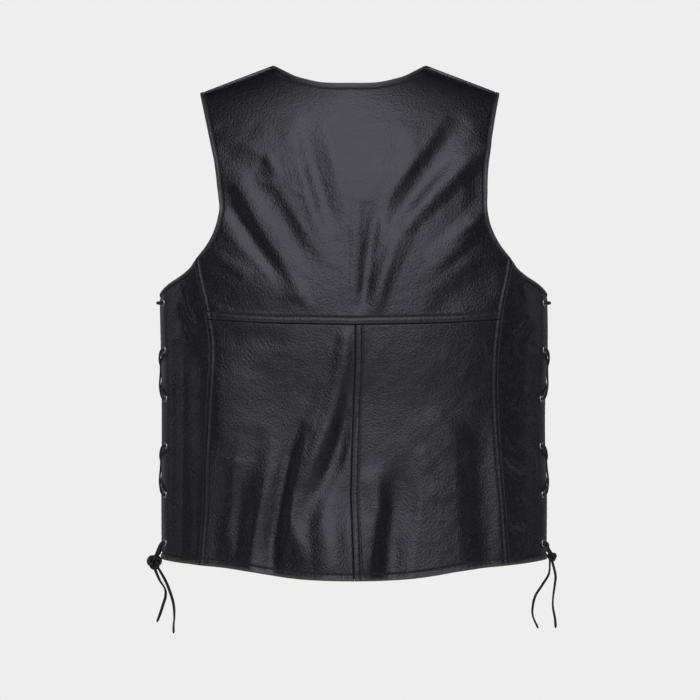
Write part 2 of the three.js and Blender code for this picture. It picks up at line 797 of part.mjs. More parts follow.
function knot(name) {
  const { radius, tube } = KNOTS[name];
  return new THREE.TorusKnotGeometry(radius, tube, 42, 6, 2, 3).applyMatrix4(knotFrame(name));
}

// A side's lace: a bar across the top row, two strands down, and side by side into the knot
function lace({ name, sign }) {
  const [knotX, , knotZ] = KNOTS[name].centre;
  const tied = (startPart, layer) => {
    const { points, part } = strand(sign, startPart, layer);
    const way = part === "back" ? -1 : 1;
    const low = EYELET_HEIGHTS.at(-1) - TIE.below;
    const height = knotZ + KNOTS[name].radius * 1.5 + TIE.above;
    const above = new THREE.Vector3(knotX, way * TIE.apart, height);
    points.push(overLeather(sign * edgeAngle(low, part), low, OUTSIDE.edge), above);
    points.push(outOfKnot(name, KNOT_TOP[part], above));
    return points;
  };
  const top = EYELET_HEIGHTS[0];
  const bar = [-LACE_GAP_HALF, 0, LACE_GAP_HALF].map(
    (y) => new THREE.Vector3(sign * (halfWidth(top) + OUTSIDE.bar) + lean(top), y, top),
  );
  return cord([...tied("back", "upper").reverse(), ...bar, ...tied("front", "lower")]);
}

function laceEnd(name, { turn, places }) {
  const points = places.map((place) => new THREE.Vector3(...place));
  return cord([outOfKnot(name, turn, points[0]), ...points], 2);
}

add("back_yoke", yoke(), leather());
for (const side of SIDES) {
  const { name, sign } = side;
  add(`back_${name}`, lowerBack(side), leather());
  add(`side_back_${name}`, punched(sideBack(side), sign, "back"), leather());
  add(`front_${name}`, punched(front(side), sign, "front"), leather());
  for (const part of ["back", "front"]) {
    EYELET_HEIGHTS.forEach((z, i) => {
      const ring = eyelet().applyMatrix4(seat(sign * eyeletAngle(z, part), z, 0));
      add(`eyelet_${name}_${part}_${i + 1}`, ring, nickel());
    });
  }
  add(`lace_${name}`, lace(side), laceLeather());
  add(`knot_${name}`, knot(name), laceLeather());
  LACE_ENDS[name].forEach((end, i) => {
    add(`lace_end_${name}_${i + 1}`, laceEnd(name, end), laceLeather());
  });
}
SNAP_HEIGHTS.forEach((z, i) => {
  add(`snap_cap_${i + 1}`, snapCap().applyMatrix4(seat(180, z, SNAP_FRONT)), nickel());
  add(`snap_back_${i + 1}`, snapBack().applyMatrix4(seat(180, z, SNAP_BEHIND)), nickel());
});

export default group;
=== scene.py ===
"""Looks of a black leather vest with laced sides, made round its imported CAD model.

Shapes are worked out in millimetres with numpy and turned to metres as they become meshes. +Z is
up, +Y is the wearer's front and +X the wearer's right, as in the CAD.
"""

import bpy
import numpy as np
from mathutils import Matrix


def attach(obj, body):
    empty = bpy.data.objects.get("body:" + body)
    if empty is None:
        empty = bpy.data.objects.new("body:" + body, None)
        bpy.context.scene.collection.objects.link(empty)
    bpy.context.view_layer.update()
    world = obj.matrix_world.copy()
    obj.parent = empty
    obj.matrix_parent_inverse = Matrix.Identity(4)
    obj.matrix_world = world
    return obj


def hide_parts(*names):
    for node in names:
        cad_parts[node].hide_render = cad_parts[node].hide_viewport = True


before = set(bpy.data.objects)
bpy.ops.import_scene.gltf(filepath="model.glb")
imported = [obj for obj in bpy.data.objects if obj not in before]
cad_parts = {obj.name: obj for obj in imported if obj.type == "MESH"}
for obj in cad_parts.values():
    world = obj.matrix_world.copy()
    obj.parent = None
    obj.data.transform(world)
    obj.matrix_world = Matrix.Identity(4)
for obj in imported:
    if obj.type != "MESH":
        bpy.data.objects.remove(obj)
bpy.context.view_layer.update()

MM = 0.001
BODY = "root"
SIDES = {"left": -1, "right": 1}

# The photograph's view: level, square to the back, from 3.2 m
CAMERA_PLACE = (-0.0025, -3.2, -0.3375)
VIEW_WIDTH = 0.875  # how much of the plane y = 0 fills the frame
SENSOR = 36

# The leather's make, as in the CAD
WALL = 1.8
SEAM_GAP = 0.3
SEAT_GAP = 0.3
BAND_RISE = 0.8
BAND_STEP = 1.0
PRINCESS_BAND = 5.0
CENTRE_BAND = 9.1

# The body that the leather is wrapped round
NECK_HALF = 95.0
NECK_HEIGHT = 17.5
TIP_HALF = 187.0
TIP_HEIGHT = -17.5
SHOULDER_ROUND = 110.0
ROUNDNESS = 2.1
SHOULDER_SLOPE = (TIP_HEIGHT - NECK_HEIGHT) / (TIP_HALF - NECK_HALF)

# Height, half width, depth of the back, depth of the front, how far it hangs to one side
TORSO = np.array([
    (-626, 241.5, 117, 118, 2.6),
    (-576, 241.8, 113, 117, 2.6),
    (-516, 242.2, 110, 115, 2.6),
    (-456, 241, 108, 114, 1.8),
    (-400, 241, 109, 114, 1.8),
    (-337, 242.8, 114, 117, 2.8),
    (-262, 242.6, 117, 122, 1.8),
    (-212, 238, 115, 121, 1.8),
    (-150, 232, 108, 116, 0.8),
    (-100, 228, 98, 104, -1),
    (-50, 226, 82, 84, -2.4),
    (18, 224, 62, 58, -3),
])
HALF, BACK, FRONT, LEAN = (TORSO[:, [0, column]] for column in (1, 2, 3, 4))

# Seams and edges: hem angle to height, share across to height, or height to distance from the
# middle
HEM = [
    (0, -616.5), (8, -616), (16, -614.2), (23, -611), (31, -606.3), (43, -602),
    (78, -597.5), (120, -598), (200, -600),
]
CROSS_SEAM = [(0, -306.7), (0.55, -304.6), (1, -300.2)]
CENTRE_SEAM = [
    (-616, 0), (-576, -1.3), (-517, -3.7), (-483, -2.7), (-430, -0.8), (-374, 1.1), (-306, 1.7),
]
PRINCESS_SEAM = [
    (-601, 188.8), (-572, 187), (-526, 183.5), (-470, 179), (-411, 175.5), (-367, 174),
    (-334, 175), (-296, 180), (-272, 184.5), (-247, 190.5), (-227, 193.5),
]
BACK_ARMHOLE = [
    (-227, 193.5), (-208, 178.4), (-189, 168.8), (-169, 163.8), (-150, 164.4), (-110, 167.8),
    (-69, 175.4), (-38, 182), (TIP_HEIGHT, TIP_HALF),
]
UNDERARM = [(0, -227), (0.09, -237), (0.27, -246.5), (0.58, -256), (0.83, -263), (1, -267)]
FRONT_ARMHOLE = [
    (-267, 240.6), (-262, 229), (-250, 208), (-230, 185), (-205, 168), (-175, 156),
    (-145, 151), (-105, 153), (-65, 163), (-38, 175), (TIP_HEIGHT, TIP_HALF),
]
FRONT_EDGE = [
    (-600, -14), (-310, -14), (-288, -11), (-262, 0), (-220, 19), (-160, 42), (-100, 62),
    (-40, 80), (NECK_HEIGHT, NECK_HALF),
]
NECKLINE = [
    (0, -10), (20, -9.8), (37, -8.3), (52, -4.5), (67, 0.5), (82, 9), (NECK_HALF, NECK_HEIGHT),
]
PRINCESS_ANGLE = 50
LACED_ANGLE = 81
ARMPIT = BACK_ARMHOLE[0][0]
LACED_TOP = UNDERARM[-1][1]

# The CAD's folds: x0, z0, x1, z1, width, height
BACK_FOLDS = [
    (-54, -72, -27, -178, 44, -3.5),
    (-150, -150, -76, -256, 40, -4),
    (-117, -132, -51, -232, 36, -3),
    (28, -160, 12, -280, 36, -2.5),
    (130, -62, 52, -176, 44, -4),
    (-136, -160, -64, -270, 30, 3),
    (160, -92, 66, -184, 36, 3.5),
    (158, -172, 104, -226, 40, 3),
    (64, -190, 24, -284, 36, 2.5),
    (0, -318, -56, -486, 56, 4),
    (-8, -424, -54, -540, 40, -4.5),
    (-64, -440, -106, -590, 44, -4),
    (-116, -450, -142, -600, 44, -4),
    (-30, -530, -26, -610, 50, 4),
    (52, -500, 38, -612, 40, -4),
    (150, -440, 156, -590, 56, -3.5),
    (-219, -335, -221, -592, 26, -3.5),
    (226, -335, 226, -592, 22, -3),
]
FRONT_FOLDS = [
    (-140, -90, -60, -230, 46, -4),
    (142, -110, 64, -245, 44, -3.5),
    (-176, -250, -60, -330, 46, -4),
    (170, -262, 70, -350, 40, -4.5),
    (-120, -430, -150, -590, 50, -4),
    (96, -420, 128, -585, 46, -4.5),
    (-60, -470, -70, -600, 44, 4),
    (58, -480, 66, -600, 44, 3.5),
]

# Smaller creases, which the solids leave out: the places (x, z) of a line that runs down or to the
# right, its width to the left and right of that way, and its height. Each fades out at both ends.
YOKE_CREASES = [
    ([(-57, -62), (-50, -110), (-34, -156), (-22, -196)], 12, 14, -0.9),
    ([(-66, -100), (-54, -144), (-34, -214)], 12, 12, 0.8),
    ([(-20, -190), (-17, -240), (-15, -310)], 8, 8, -0.6),
    ([(-108, -96), (-86, -130)], 9, 9, 0.8),
    ([(-118, -100), (-98, -138)], 11, 11, -0.8),
    ([(-76, -142), (-53, -152)], 7, 7, 0.6),
    ([(-138, -134), (-97, -147), (-87, -157), (-77, -181), (-58, -236)], 13, 13, -0.8),
    ([(-164, -128), (-145, -162), (-129, -193), (-111, -217), (-93, -238), (-66, -266)],
     18, 26, -1.7),
    ([(-164, -106), (-141, -144), (-117, -175), (-99, -205), (-81, -231), (-46, -296)],
     12, 12, 0.6),
    ([(-166, -182), (-123, -223), (-66, -276)], 8, 9, 0.8),
    ([(-172, -218), (-120, -252)], 11, 11, 1.0),
    ([(-180, -284), (-120, -292), (-50, -300)], 34, 16, -2.2),
    ([(-172, -286), (-142, -289)], 7, 7, 0.7),
    ([(7, -104), (4, -200), (5, -320)], 11, 11, 0.8),
    ([(-6, -170), (-5, -300)], 7, 7, -0.6),
    ([(2, -154), (36, -156)], 7, 7, 0.5),
    ([(35, -146), (23, -205), (17, -259), (11, -304)], 10, 11, -1.5),
    ([(56, -190), (43, -229), (27, -304)], 11, 11, 1.2),
    ([(134, -54), (116, -96), (97, -120), (80, -138), (48, -190)], 28, 24, -1.4),
    ([(77, -54), (63, -140)], 16, 16, 0.8),
    ([(166, -62), (118, -123), (94, -144), (50, -214)], 15, 15, 0.7),
    ([(158, -106), (145, -180)], 17, 17, -1.4),
    ([(166, -169), (112, -210)], 9, 9, 0.7),
    ([(172, -188), (120, -222), (74, -260)], 12, 13, 0.8),
    ([(180, -234), (130, -270), (86, -296)], 34, 26, -2.4),
    ([(-72, -38), (-6, -42)], 12, 12, -0.6),
    ([(-178, -64), (-104, -74)], 13, 13, -1.0),
    ([(-172, -92), (-140, -104), (-100, -130)], 22, 20, -2.0),
    ([(-168, -150), (-140, -178), (-112, -214)], 14, 14, -1.3),
    ([(-79, -50), (-70, -108)], 18, 18, 0.8),
    ([(-70, -266), (-42, -292)], 10, 10, 0.8),
]
LOWER_CREASES = [
    ([(-170, -322), (-66, -326)], 18, 18, -0.9),
    ([(-172, -322), (-160, -400), (-150, -470)], 60, 14, 1.6),
    ([(4, -262), (-11, -368), (-24, -422), (-41, -470), (-58, -520)], 15, 18, 2.6),
    ([(4, -350), (-9, -440), (-24, -490), (-36, -516)], 22, 18, -2.8),
    ([(-56, -426), (-66, -482), (-75, -518), (-72, -549), (-60, -577), (-42, -603)], 12, 14, 1.6),
    ([(-62, -404), (-80, -494), (-86, -531), (-92, -567), (-98, -680)], 14, 16, -1.8),
    ([(-124, -450), (-132, -500), (-140, -640)], 18, 14, -1.6),
    ([(17, -360), (25, -500)], 20, 20, -1.5),
    ([(16, -474), (37, -550)], 16, 18, 1.7),
    ([(22, -538), (26, -570)], 11, 11, 0.9),
    ([(56, -446), (64, -518), (56, -579), (42, -700)], 22, 32, -5.4),
    ([(86, -408), (134, -466)], 28, 28, 1.8),
    ([(81, -452), (95, -490)], 13, 13, 0.9),
    ([(90, -504), (124, -520)], 13, 13, 1.0),
    ([(156, -390), (166, -500), (166, -680)], 17, 24, -1.8),
    ([(68, -540), (62, -680)], 14, 14, 0.9),
    ([(-152, -356), (-88, -371)], 11, 11, -0.4),
    ([(-162, -470), (-126, -476)], 7, 7, 0.5),
]
# How full the back is along the seam of the yoke, and where the hem flares
FULLNESS = [
    ([(-170, -306), (0, -309), (170, -306)], 90, 110, 2.2),
    ([(-12, -505), (-16, -835)], 68, 66, 10.0),
    ([(-176, -320), (-172, -410), (-168, -540)], 90, 34, 6.5),
    ([(-152, -440), (-158, -500), (-166, -680)], 32, 22, -2.6),
    ([(-44, -380), (-60, -470), (-68, -518), (-67, -549), (-60, -577), (-48, -760)], 90, 40, 5.5),
    ([(-98, -420), (-104, -480), (-110, -531), (-117, -575), (-126, -760)], 22, 46, 5.0),
]
SIDE_CREASES = [
    ([(-214, -252), (-205, -276), (-195, -303), (-184, -318)], 7, 7, 1.8),
    ([(-212, -278), (-201, -307), (-190, -323)], 7, 7, -1.5),
    ([(-214, -298), (-204, -323), (-191, -340), (-182, -338)], 7, 8, 1.1),
    ([(-208, -352), (-206, -438)], 10, 10, 1.1),
    ([(-200, -438), (-198, -521), (-200, -660)], 11, 11, -1.8),
    ([(-188, -246), (-186, -300)], 8, 8, -1.0),
    ([(223, -292), (206, -313), (193, -322)], 7, 7, 2.2),
    ([(225, -303), (208, -325), (194, -333)], 7, 7, -1.4),
    ([(207, -252), (216, -282)], 8, 8, 1.0),
    ([(191, -328), (199, -354)], 11, 11, 0.9),
    ([(217, -380), (194, -415)], 10, 10, 1.7),
    ([(186, -440), (207, -462)], 10, 10, 0.9),
    ([(182, -467), (200, -480), (214, -491)], 6, 6, 1.9),
    ([(183, -476), (200, -489), (212, -499)], 6, 6, -1.3),
    ([(203, -512), (211, -530)], 7, 7, 1.2),
    ([(189, -538), (198, -546)], 6, 6, 0.9),
    ([(182, -545), (196, -556), (208, -563)], 5, 5, -2.0),
    ([(202, -548), (213, -560)], 5, 5, 1.6),
    ([(201, -573), (202, -588)], 6, 6, 1.0),
]
FRONT_CREASES = [
    ([(-150, -96), (-124, -150), (-84, -190)], 10, 12, -1.4),
    ([(-128, -86), (-104, -132), (-70, -170)], 9, 9, 1.0),
    ([(150, -110), (126, -164), (88, -206)], 12, 10, -1.4),
    ([(120, -120), (96, -174), (60, -220)], 9, 9, 1.0),
    ([(-186, -262), (-142, -286), (-96, -300)], 10, 9, -1.5),
    ([(-190, -284), (-142, -314), (-90, -330)], 9, 9, 1.2),
    ([(-170, -300), (-124, -334), (-70, -352)], 9, 10, -1.0),
    ([(182, -270), (140, -298), (96, -316)], 10, 9, -1.5),
    ([(190, -292), (142, -326), (96, -346)], 9, 9, 1.2),
    ([(166, -306), (120, -344), (70, -366)], 9, 10, -1.1),
    ([(-104, -420), (-124, -500), (-140, -650)], 12, 11, -1.9),
    ([(-74, -440), (-88, -520), (-98, -650)], 10, 10, 1.3),
    ([(-48, -460), (-56, -540), (-60, -650)], 9, 9, -1.1),
    ([(88, -410), (106, -490), (122, -650)], 11, 12, -1.9),
    ([(64, -440), (74, -520), (82, -650)], 10, 10, 1.3),
    ([(44, -470), (50, -540), (52, -650)], 9, 9, -1.1),
    ([(-196, -360), (-203, -460), (-206, -650)], 10, 10, -1.2),
    ([(196, -360), (201, -460), (204, -650)], 10, 10, -1.2),
    ([(-150, -380), (-132, -404), (-120, -430)], 14, 14, 0.9),
    ([(140, -372), (122, -400), (108, -424)], 14, 14, 0.9),
    ([(-176, -480), (-172, -640)], 16, 16, 1.2),
    ([(160, -470), (166, -640)], 16, 16, 1.2),
]

# Lacing
LACE_GAP_HALF = 18.0
EYELET_INSET = 13.0
EYELET_HEIGHTS = [-279, -337, -397.5, -456, -516, -576]
EYELET = {"hole": 2.9, "barrel": 3.4, "flange": 4.6, "lip": 0.7, "back_gap": 0.5}
PUNCHED_RADIUS = 3.9
LACE_WIDTH = 3.7
LACE_THICKNESS = 2.3
SNAP_HEIGHTS = [-305, -393, -481, -569]
UNDERLAP = 3.2
UNDERLAP_FROM, UNDERLAP_TO, UNDERLAP_FADE = 50.0, 18.0, 60.0
SNAP_BEHIND = -UNDERLAP - WALL - 0.5


def cubic(t, start, stop, start_slope, stop_slope):
    """A cubic from start to stop that has the given slopes there."""
    return (
        (2 * t**3 - 3 * t**2 + 1) * start + (t**3 - 2 * t**2 + t) * start_slope
        + (3 * t**2 - 2 * t**3) * stop + (t**3 - t**2) * stop_slope
    )


def curve(rows, value):
    """A smooth curve through a table's rows: a cubic between each two, whose slope at a row is that
    of the line between its neighbours. Past the table's ends it keeps the end's value."""
    a, b = np.asarray(rows, float).T
    index = np.arange(len(a))
    before, after = np.maximum(index - 1, 0), np.minimum(index + 1, len(a) - 1)
    slope = (b[after] - b[before]) / (a[after] - a[before])
    at = np.clip(value, a[0], a[-1])
    i = np.clip(np.searchsorted(a, at), 1, len(a) - 1)
    run = a[i] - a[i - 1]
    return cubic((at - a[i - 1]) / run, b[i - 1], b[i], run * slope[i - 1], run * slope[i])


def mix(a, b, share):
    return a + (b - a) * share


def smoothstep(value, low, high):
    """0 below low, 1 above high and 3 t squared less 2 t cubed between."""
    t = np.clip((value - low) / (high - low), 0, 1)
    return t * t * (3 - 2 * t)


def unit(vectors):
    return vectors / np.maximum(np.linalg.norm(vectors, axis=-1, keepdims=True), 1e-12)


def closing(share):
    """The other share of a superellipse: (1 - share^p)^(1/p)."""
    return (1 - np.minimum(np.abs(share), 1) ** ROUNDNESS) ** (1 / ROUNDNESS)


def shoulder_height(x):
    return NECK_HEIGHT + SHOULDER_SLOPE * (np.abs(x) - NECK_HALF)


def roof_share(x, z):
    return 1 - np.clip((shoulder_height(x) - z) / SHOULDER_ROUND, 0, 1)


def angle_across(x, z):
    """The angle round the body, in degrees from the middle of the back, at a distance x across."""
    k = x / curve(HALF, z)
    return np.degrees(np.arctan2(k, closing(k)))


def seam_angle(rows, z):
    """The angle at which a seam lies at a height."""
    return angle_across(curve(rows, z), z)


def angle_in_depth(y, z, depth):
    q = y / curve(depth, z)
    return np.degrees(np.arctan2(closing(q), q))


def shares(angle):
    """An angle's shares of the half width and of the depth on the superellipse."""
    sine, cosine = np.sin(np.radians(angle)), np.cos(np.radians(angle))
    reach = (np.abs(sine) ** ROUNDNESS + np.abs(cosine) ** ROUNDNESS) ** (-1 / ROUNDNESS)
    return sine * reach, cosine * reach


def top_height(angle, line):
    """The height of a shoulder or neck line above an angle, by eight steps of coming nearer."""
    z = np.full(np.shape(angle), NECK_HEIGHT)
    for _ in range(8):
        z = line(np.abs(curve(HALF, z) * shares(angle)[0]))
    return z


def body_point(angle, z):
    """A point of the body: its half width and depth at that height times the angle's two shares,
    the depth closing to nothing along the shoulder line as a second superellipse."""
    across, deep = shares(angle)
    x = curve(HALF, z) * across
    depth = np.where(deep > 0, curve(BACK, z), curve(FRONT, z))
    y = -deep * depth * closing(roof_share(x, z))
    return np.stack([x + curve(LEAN, z), y, z + 0 * x], axis=-1)


def body_normal(angle, z):
    """The outward direction: the gradient of (x / half width)^p + (y / depth)^p."""
    across, deep = shares(angle)
    half = curve(HALF, z)
    depth = np.where(deep > 0, curve(BACK, z), curve(FRONT, z))
    k, q = np.abs(across), np.abs(deep)
    roof = np.minimum(roof_share(half * across, z), 0.99999)
    closed = closing(roof)
    closing_rate = roof ** (ROUNDNESS - 1) / (closed**ROUNDNESS * SHOULDER_ROUND)

    def rate(table):
        return (curve(table, z + 1) - curve(table, z - 1)) / (2 * curve(table, z))

    depth_rate = np.where(deep > 0, rate(BACK), rate(FRONT))
    kp, qp = k**ROUNDNESS, q**ROUNDNESS
    return unit(np.stack([
        np.sign(across) * (k ** (ROUNDNESS - 1) / half - qp * closing_rate * SHOULDER_SLOPE),
        -np.sign(deep) * q ** (ROUNDNESS - 1) / (depth * closed),
        -kp * rate(HALF) - qp * (depth_rate - closing_rate),
    ], axis=-1))


FADE_BELOW_SHOULDER = (20, 70)
FADE_PAST_EYELETS = (LACE_GAP_HALF + EYELET_INSET + 6, 60)  # from the middle of the side


def fold_fade(points):
    """Folds die out towards the shoulder seams and the laced edges."""
    y, z = points[..., 1], points[..., 2]
    return smoothstep(-z, *FADE_BELOW_SHOULDER) * smoothstep(np.abs(y), *FADE_PAST_EYELETS)


def fold_lift(points):
    """How far the CAD's folds lift the leather: for each, its height times (1 - s^2)^2, s being the
    distance from its line in half widths, and a little less at its ends than in its middle."""
    x, z = points[..., 0], points[..., 2]
    lift = np.zeros(x.shape)
    for folds, here in ((BACK_FOLDS, points[..., 1] < 0), (FRONT_FOLDS, points[..., 1] >= 0)):
        for x0, z0, x1, z1, width, height in folds:
            dx, dz = x1 - x0, z1 - z0
            at = np.clip(((x - x0) * dx + (z - z0) * dz) / (dx * dx + dz * dz), 0, 1)
            off = np.hypot(x - x0 - dx * at, z - z0 - dz * at)
            s = np.minimum(off / (width / 2), 1)
            lift += here * height * (1 - s * s) ** 2 * (1 - 0.5 * (2 * at - 1) ** 2)
    return lift * fold_fade(points)


def run_along(path):
    """How far along the path each of its points is."""
    return np.concatenate([[0], np.cumsum(np.linalg.norm(np.diff(path, axis=0), axis=1))])


def smooth_path(points, steps):
    """A centripetal Catmull-Rom curve through the points, with that many steps between each two: a
    cubic whose end slopes come from the square roots of the three chords about it."""
    p = np.vstack([2 * points[0] - points[1], points, 2 * points[-1] - points[-2]])
    chord = np.sqrt(np.linalg.norm(np.diff(p, axis=0), axis=1))[:, None]
    before, over, after = chord[:-2], chord[1:-1], chord[2:]
    p0, p1, p2, p3 = p[:-3], p[1:-2], p[2:-1], p[3:]
    t1 = (p1 - p0) / before - (p2 - p0) / (before + over) + (p2 - p1) / over
    t2 = (p2 - p1) / over - (p3 - p1) / (over + after) + (p3 - p2) / after
    t1, t2 = t1 * over, t2 * over
    s = np.arange(steps)[None, :, None] / steps
    run = cubic(s, p1[:, None], p2[:, None], t1[:, None], t2[:, None])
    return np.vstack([run.reshape(-1, points.shape[1]), points[-1]])


CREASE_END = 0.3  # the share of a crease's length over which it fades at each end
CREASE_STEPS = 4  # of its line between two places


def crease_lift(points, creases):
    """The smaller creases: as a fold, but along a smooth line through its places, with a width of
    its own on each side and fading to nothing at both ends."""
    x, z = points[..., 0], points[..., 2]
    lift = np.zeros(x.shape)
    for places, left, right, height in creases:
        line = smooth_path(np.array(places, float), CREASE_STEPS)
        reach = max(left, right)
        low, high = line.min(0) - reach, line.max(0) + reach
        near = (x > low[0]) & (x < high[0]) & (z > low[1]) & (z < high[1])
        if not near.any():
            continue
        here = np.stack([x[near], z[near]], -1)[:, None]
        legs = np.diff(line, axis=0)
        lengths = np.linalg.norm(legs, axis=1)
        t = np.clip(((here - line[:-1]) * legs).sum(-1) / lengths**2, 0, 1)
        off = here - line[:-1] - legs * t[..., None]
        nearest = np.linalg.norm(off, axis=-1).argmin(1)
        row = np.arange(len(here))
        off, t, leg = off[row, nearest], t[row, nearest], legs[nearest]
        on_left = leg[:, 0] * off[:, 1] - leg[:, 1] * off[:, 0] > 0
        s = np.minimum(np.linalg.norm(off, axis=1) / np.where(on_left, left, right), 1)
        before = np.concatenate([[0], np.cumsum(lengths)])
        at = (before[nearest] + t * lengths[nearest]) / before[-1]
        ends = smoothstep(at, 0, CREASE_END) * smoothstep(1 - at, 0, CREASE_END)
        lift[near] += height * (1 - s * s) ** 2 * ends
    return lift * fold_fade(points)


def unevenness(points, wavelengths, seed, count=18):
    """A soft even-handed waviness: the mean of many sine waves of set lengths and chance
    directions."""
    chance = np.random.default_rng(seed)
    total = np.zeros(points.shape[:-1])
    for _ in range(count):
        way = unit(chance.normal(size=3))
        length = chance.uniform(*wavelengths)
        total += np.sin(2 * np.pi * (points @ way / length + chance.random()))
    return total / np.sqrt(count)


def srgb(hex_colour, alpha=1.0):
    """An sRGB hex colour as the linear values that a shader takes."""
    c = np.array([int(hex_colour[i : i + 2], 16) for i in (1, 3, 5)]) / 255
    return (*np.where(c <= 0.04045, c / 12.92, ((c + 0.055) / 1.055) ** 2.4), alpha)


def new_material(name, **settings):
    """A material with one Principled shader, whose constants go on its own sockets."""
    material = bpy.data.materials.new(name)
    material.use_nodes = True
    shader = material.node_tree.nodes["Principled BSDF"]
    for socket, value in settings.items():
        shader.inputs[socket.replace("_", " ")].default_value = value
    return material, shader


def add_node(material, kind, inputs=None, **settings):
    """Adds a node. Its inputs are values, or the outputs of other nodes to link."""
    node = material.node_tree.nodes.new(kind)
    for name, value in settings.items():
        setattr(node, name, value)
    for socket, value in (inputs or {}).items():
        if isinstance(value, bpy.types.NodeSocket):
            material.node_tree.links.new(value, node.inputs[socket])
        else:
            node.inputs[socket].default_value = value
    return node


def drive(material, shader, **links):
    """Links outputs to the shader's sockets."""
    for socket, output in links.items():
        material.node_tree.links.new(output, shader.inputs[socket.replace("_", " ")])


def blend_colours(material, share, first, second):
    """A colour between two, each a hex colour or the output of another node."""
    node = add_node(material, "ShaderNodeMix", {0: share}, data_type="RGBA")
    for socket, colour in ((node.inputs[6], first), (node.inputs[7], second)):
        if isinstance(colour, str):
            socket.default_value = srgb(colour)
        else:
            material.node_tree.links.new(colour, socket)
    return node.outputs[2]


def object_place(material):
    return add_node(material, "ShaderNodeTexCoord").outputs["Object"]


def point_share(material, name):
    """A share that the mesh's points carry, such as how worn they are."""
    return add_node(material, "ShaderNodeAttribute", attribute_name=name).outputs["Fac"]


def noise(material, place, scale, detail, **more):
    inputs = {"Vector": place, "Scale": scale, "Detail": detail, **more}
    return add_node(material, "ShaderNodeTexNoise", inputs).outputs["Fac"]


def ranged(material, value, low, high, start=0.0, stop=1.0):
    """Low where the value is start, high where it is stop, and even between."""
    inputs = {"Value": value, 1: start, 2: stop, 3: low, 4: high}
    return add_node(material, "ShaderNodeMapRange", inputs).outputs[0]


def times_plus(material, value, factor, added):
    inputs = {0: value, 1: factor, 2: added}
    return add_node(material, "ShaderNodeMath", inputs, operation="MULTIPLY_ADD").outputs[0]


def bump(material, height, strength, millimetres, over=None, invert=False):
    """The surface's direction once the height has bumped it, over another bump if one is given."""
    inputs = {"Strength": strength, "Distance": millimetres * MM, "Height": height}
    if over is not None:
        inputs["Normal"] = over
    return add_node(material, "ShaderNodeBump", inputs, invert=invert).outputs[0]


def garment_leather():
    """Black aniline-dyed cowhide, milled so that its grain stands up, with a light wax finish. The
    eye gets a violet-black depth, soft highlights broken by pebbles, and a polish where it wears.
    Its edges are painted paler, partly for wear and partly as a painted highlight along their rims,
    and its seams and stitch grooves are painted near black as painted shade. Its pebbles are about
    1.2 mm, and are drawn nearly twice as large so that they show."""
    material, shader = new_material(
        "garment_leather_waxed_black", IOR=1.5, Specular_Tint=srgb("#f0eeff")
    )
    place = object_place(material)
    worn, sunken = point_share(material, "worn"), point_share(material, "sunken")
    cloudy = noise(material, place, 22, 4, Roughness=0.6)
    pebbles = add_node(
        material, "ShaderNodeTexVoronoi",
        {"Vector": place, "Scale": 1 / (2.2 * MM), "Randomness": 1.0}, feature="SMOOTH_F1",
    ).outputs["Distance"]
    pores = noise(material, place, 1 / (1.6 * MM), 3, Roughness=0.7)
    creased = noise(material, place, 1 / (5 * MM), 4, Roughness=0.7, Distortion=0.5)
    waxed = blend_colours(material, ranged(material, pores, 0, 1, 0.4, 0.6), "#020203", "#1e1d25")
    dyed = blend_colours(material, pebbles, waxed, "#020203")
    # Paler edges: partly wear, partly a painted highlight for the light that a lit rim catches.
    edge_wear_and_highlight = blend_colours(material, worn, dyed, "#46433b")
    # Painted shade: seams and stitch grooves are painted near black for the shade that falls in
    # them, and are made rougher below.
    shaded = blend_colours(material, sunken, edge_wear_and_highlight, "#030304")
    rough = ranged(material, cloudy, 0.34, 0.41, 0.3, 0.7)
    polished = times_plus(material, worn, -0.06, rough)
    dulled = times_plus(material, sunken, 0.5, polished)
    hills = bump(material, creased, 0.25, 0.8)
    grain = bump(material, pebbles, 0.9, 0.45, hills, invert=True)
    fine = bump(material, pores, 0.6, 0.3, grain)
    drive(material, shader, Base_Color=shaded, Roughness=dulled, Normal=fine)
    return material


def flesh_side():
    """The hide's inner side, drum-dyed suede: dull, a little greyer than the grain side, with a
    short nap that lies in cloudy patches."""
    material, shader = new_material(
        "flesh_side_suede_black", IOR=1.45, Sheen_Weight=0.25, Sheen_Roughness=0.5,
        Sheen_Tint=srgb("#8a8790"),
    )
    place = object_place(material)
    patches = noise(material, place, 60, 5, Roughness=0.7)
    nap = noise(material, place, 1 / (1.0 * MM), 3, Roughness=0.8)
    drive(
        material, shader, Base_Color=blend_colours(material, patches, "#19181b", "#2a282b"),
        Roughness=ranged(material, patches, 0.8, 0.95), Normal=bump(material, nap, 0.6, 0.25),
    )
    return material


def cut_edge():
    """The hide's cut edge: undyed fibre stained almost black, so that a thin brown-olive line
    shows."""
    material, shader = new_material("cut_edge_stained", IOR=1.5)
    fibres = noise(material, object_place(material), 1 / (0.8 * MM), 4, Roughness=0.7)
    drive(
        material, shader, Base_Color=blend_colours(material, fibres, "#2c2a24", "#4a473d"),
        Roughness=ranged(material, fibres, 0.6, 0.8), Normal=bump(material, fibres, 0.5, 0.15),
    )
    return material


def lacing_leather():
    """Flat calfskin lacing cut from a hide and waxed: smoother than the panels, with streaks along
    its length and edges painted paler where it wears."""
    material, shader = new_material("lacing_calfskin_waxed", IOR=1.5, Specular_IOR_Level=0.3)
    along = add_node(material, "ShaderNodeUVMap", uv_map="along").outputs["UV"]
    stretched = add_node(
        material, "ShaderNodeMapping", {"Vector": along, "Scale": (0.15, 1.6, 1)}
    ).outputs[0]
    streaks = noise(material, stretched, 1.2, 4)
    grain = noise(material, object_place(material), 1 / (0.7 * MM), 3, Roughness=0.65)
    colour = blend_colours(material, streaks, "#0c0b0e", "#17161a")
    drive(
        material, shader,
        Base_Color=blend_colours(material, point_share(material, "worn"), colour, "#252327"),
        Roughness=ranged(material, streaks, 0.5, 0.65, 0.3, 0.7),
        Normal=bump(material, grain, 0.4, 0.12),
    )
    return material


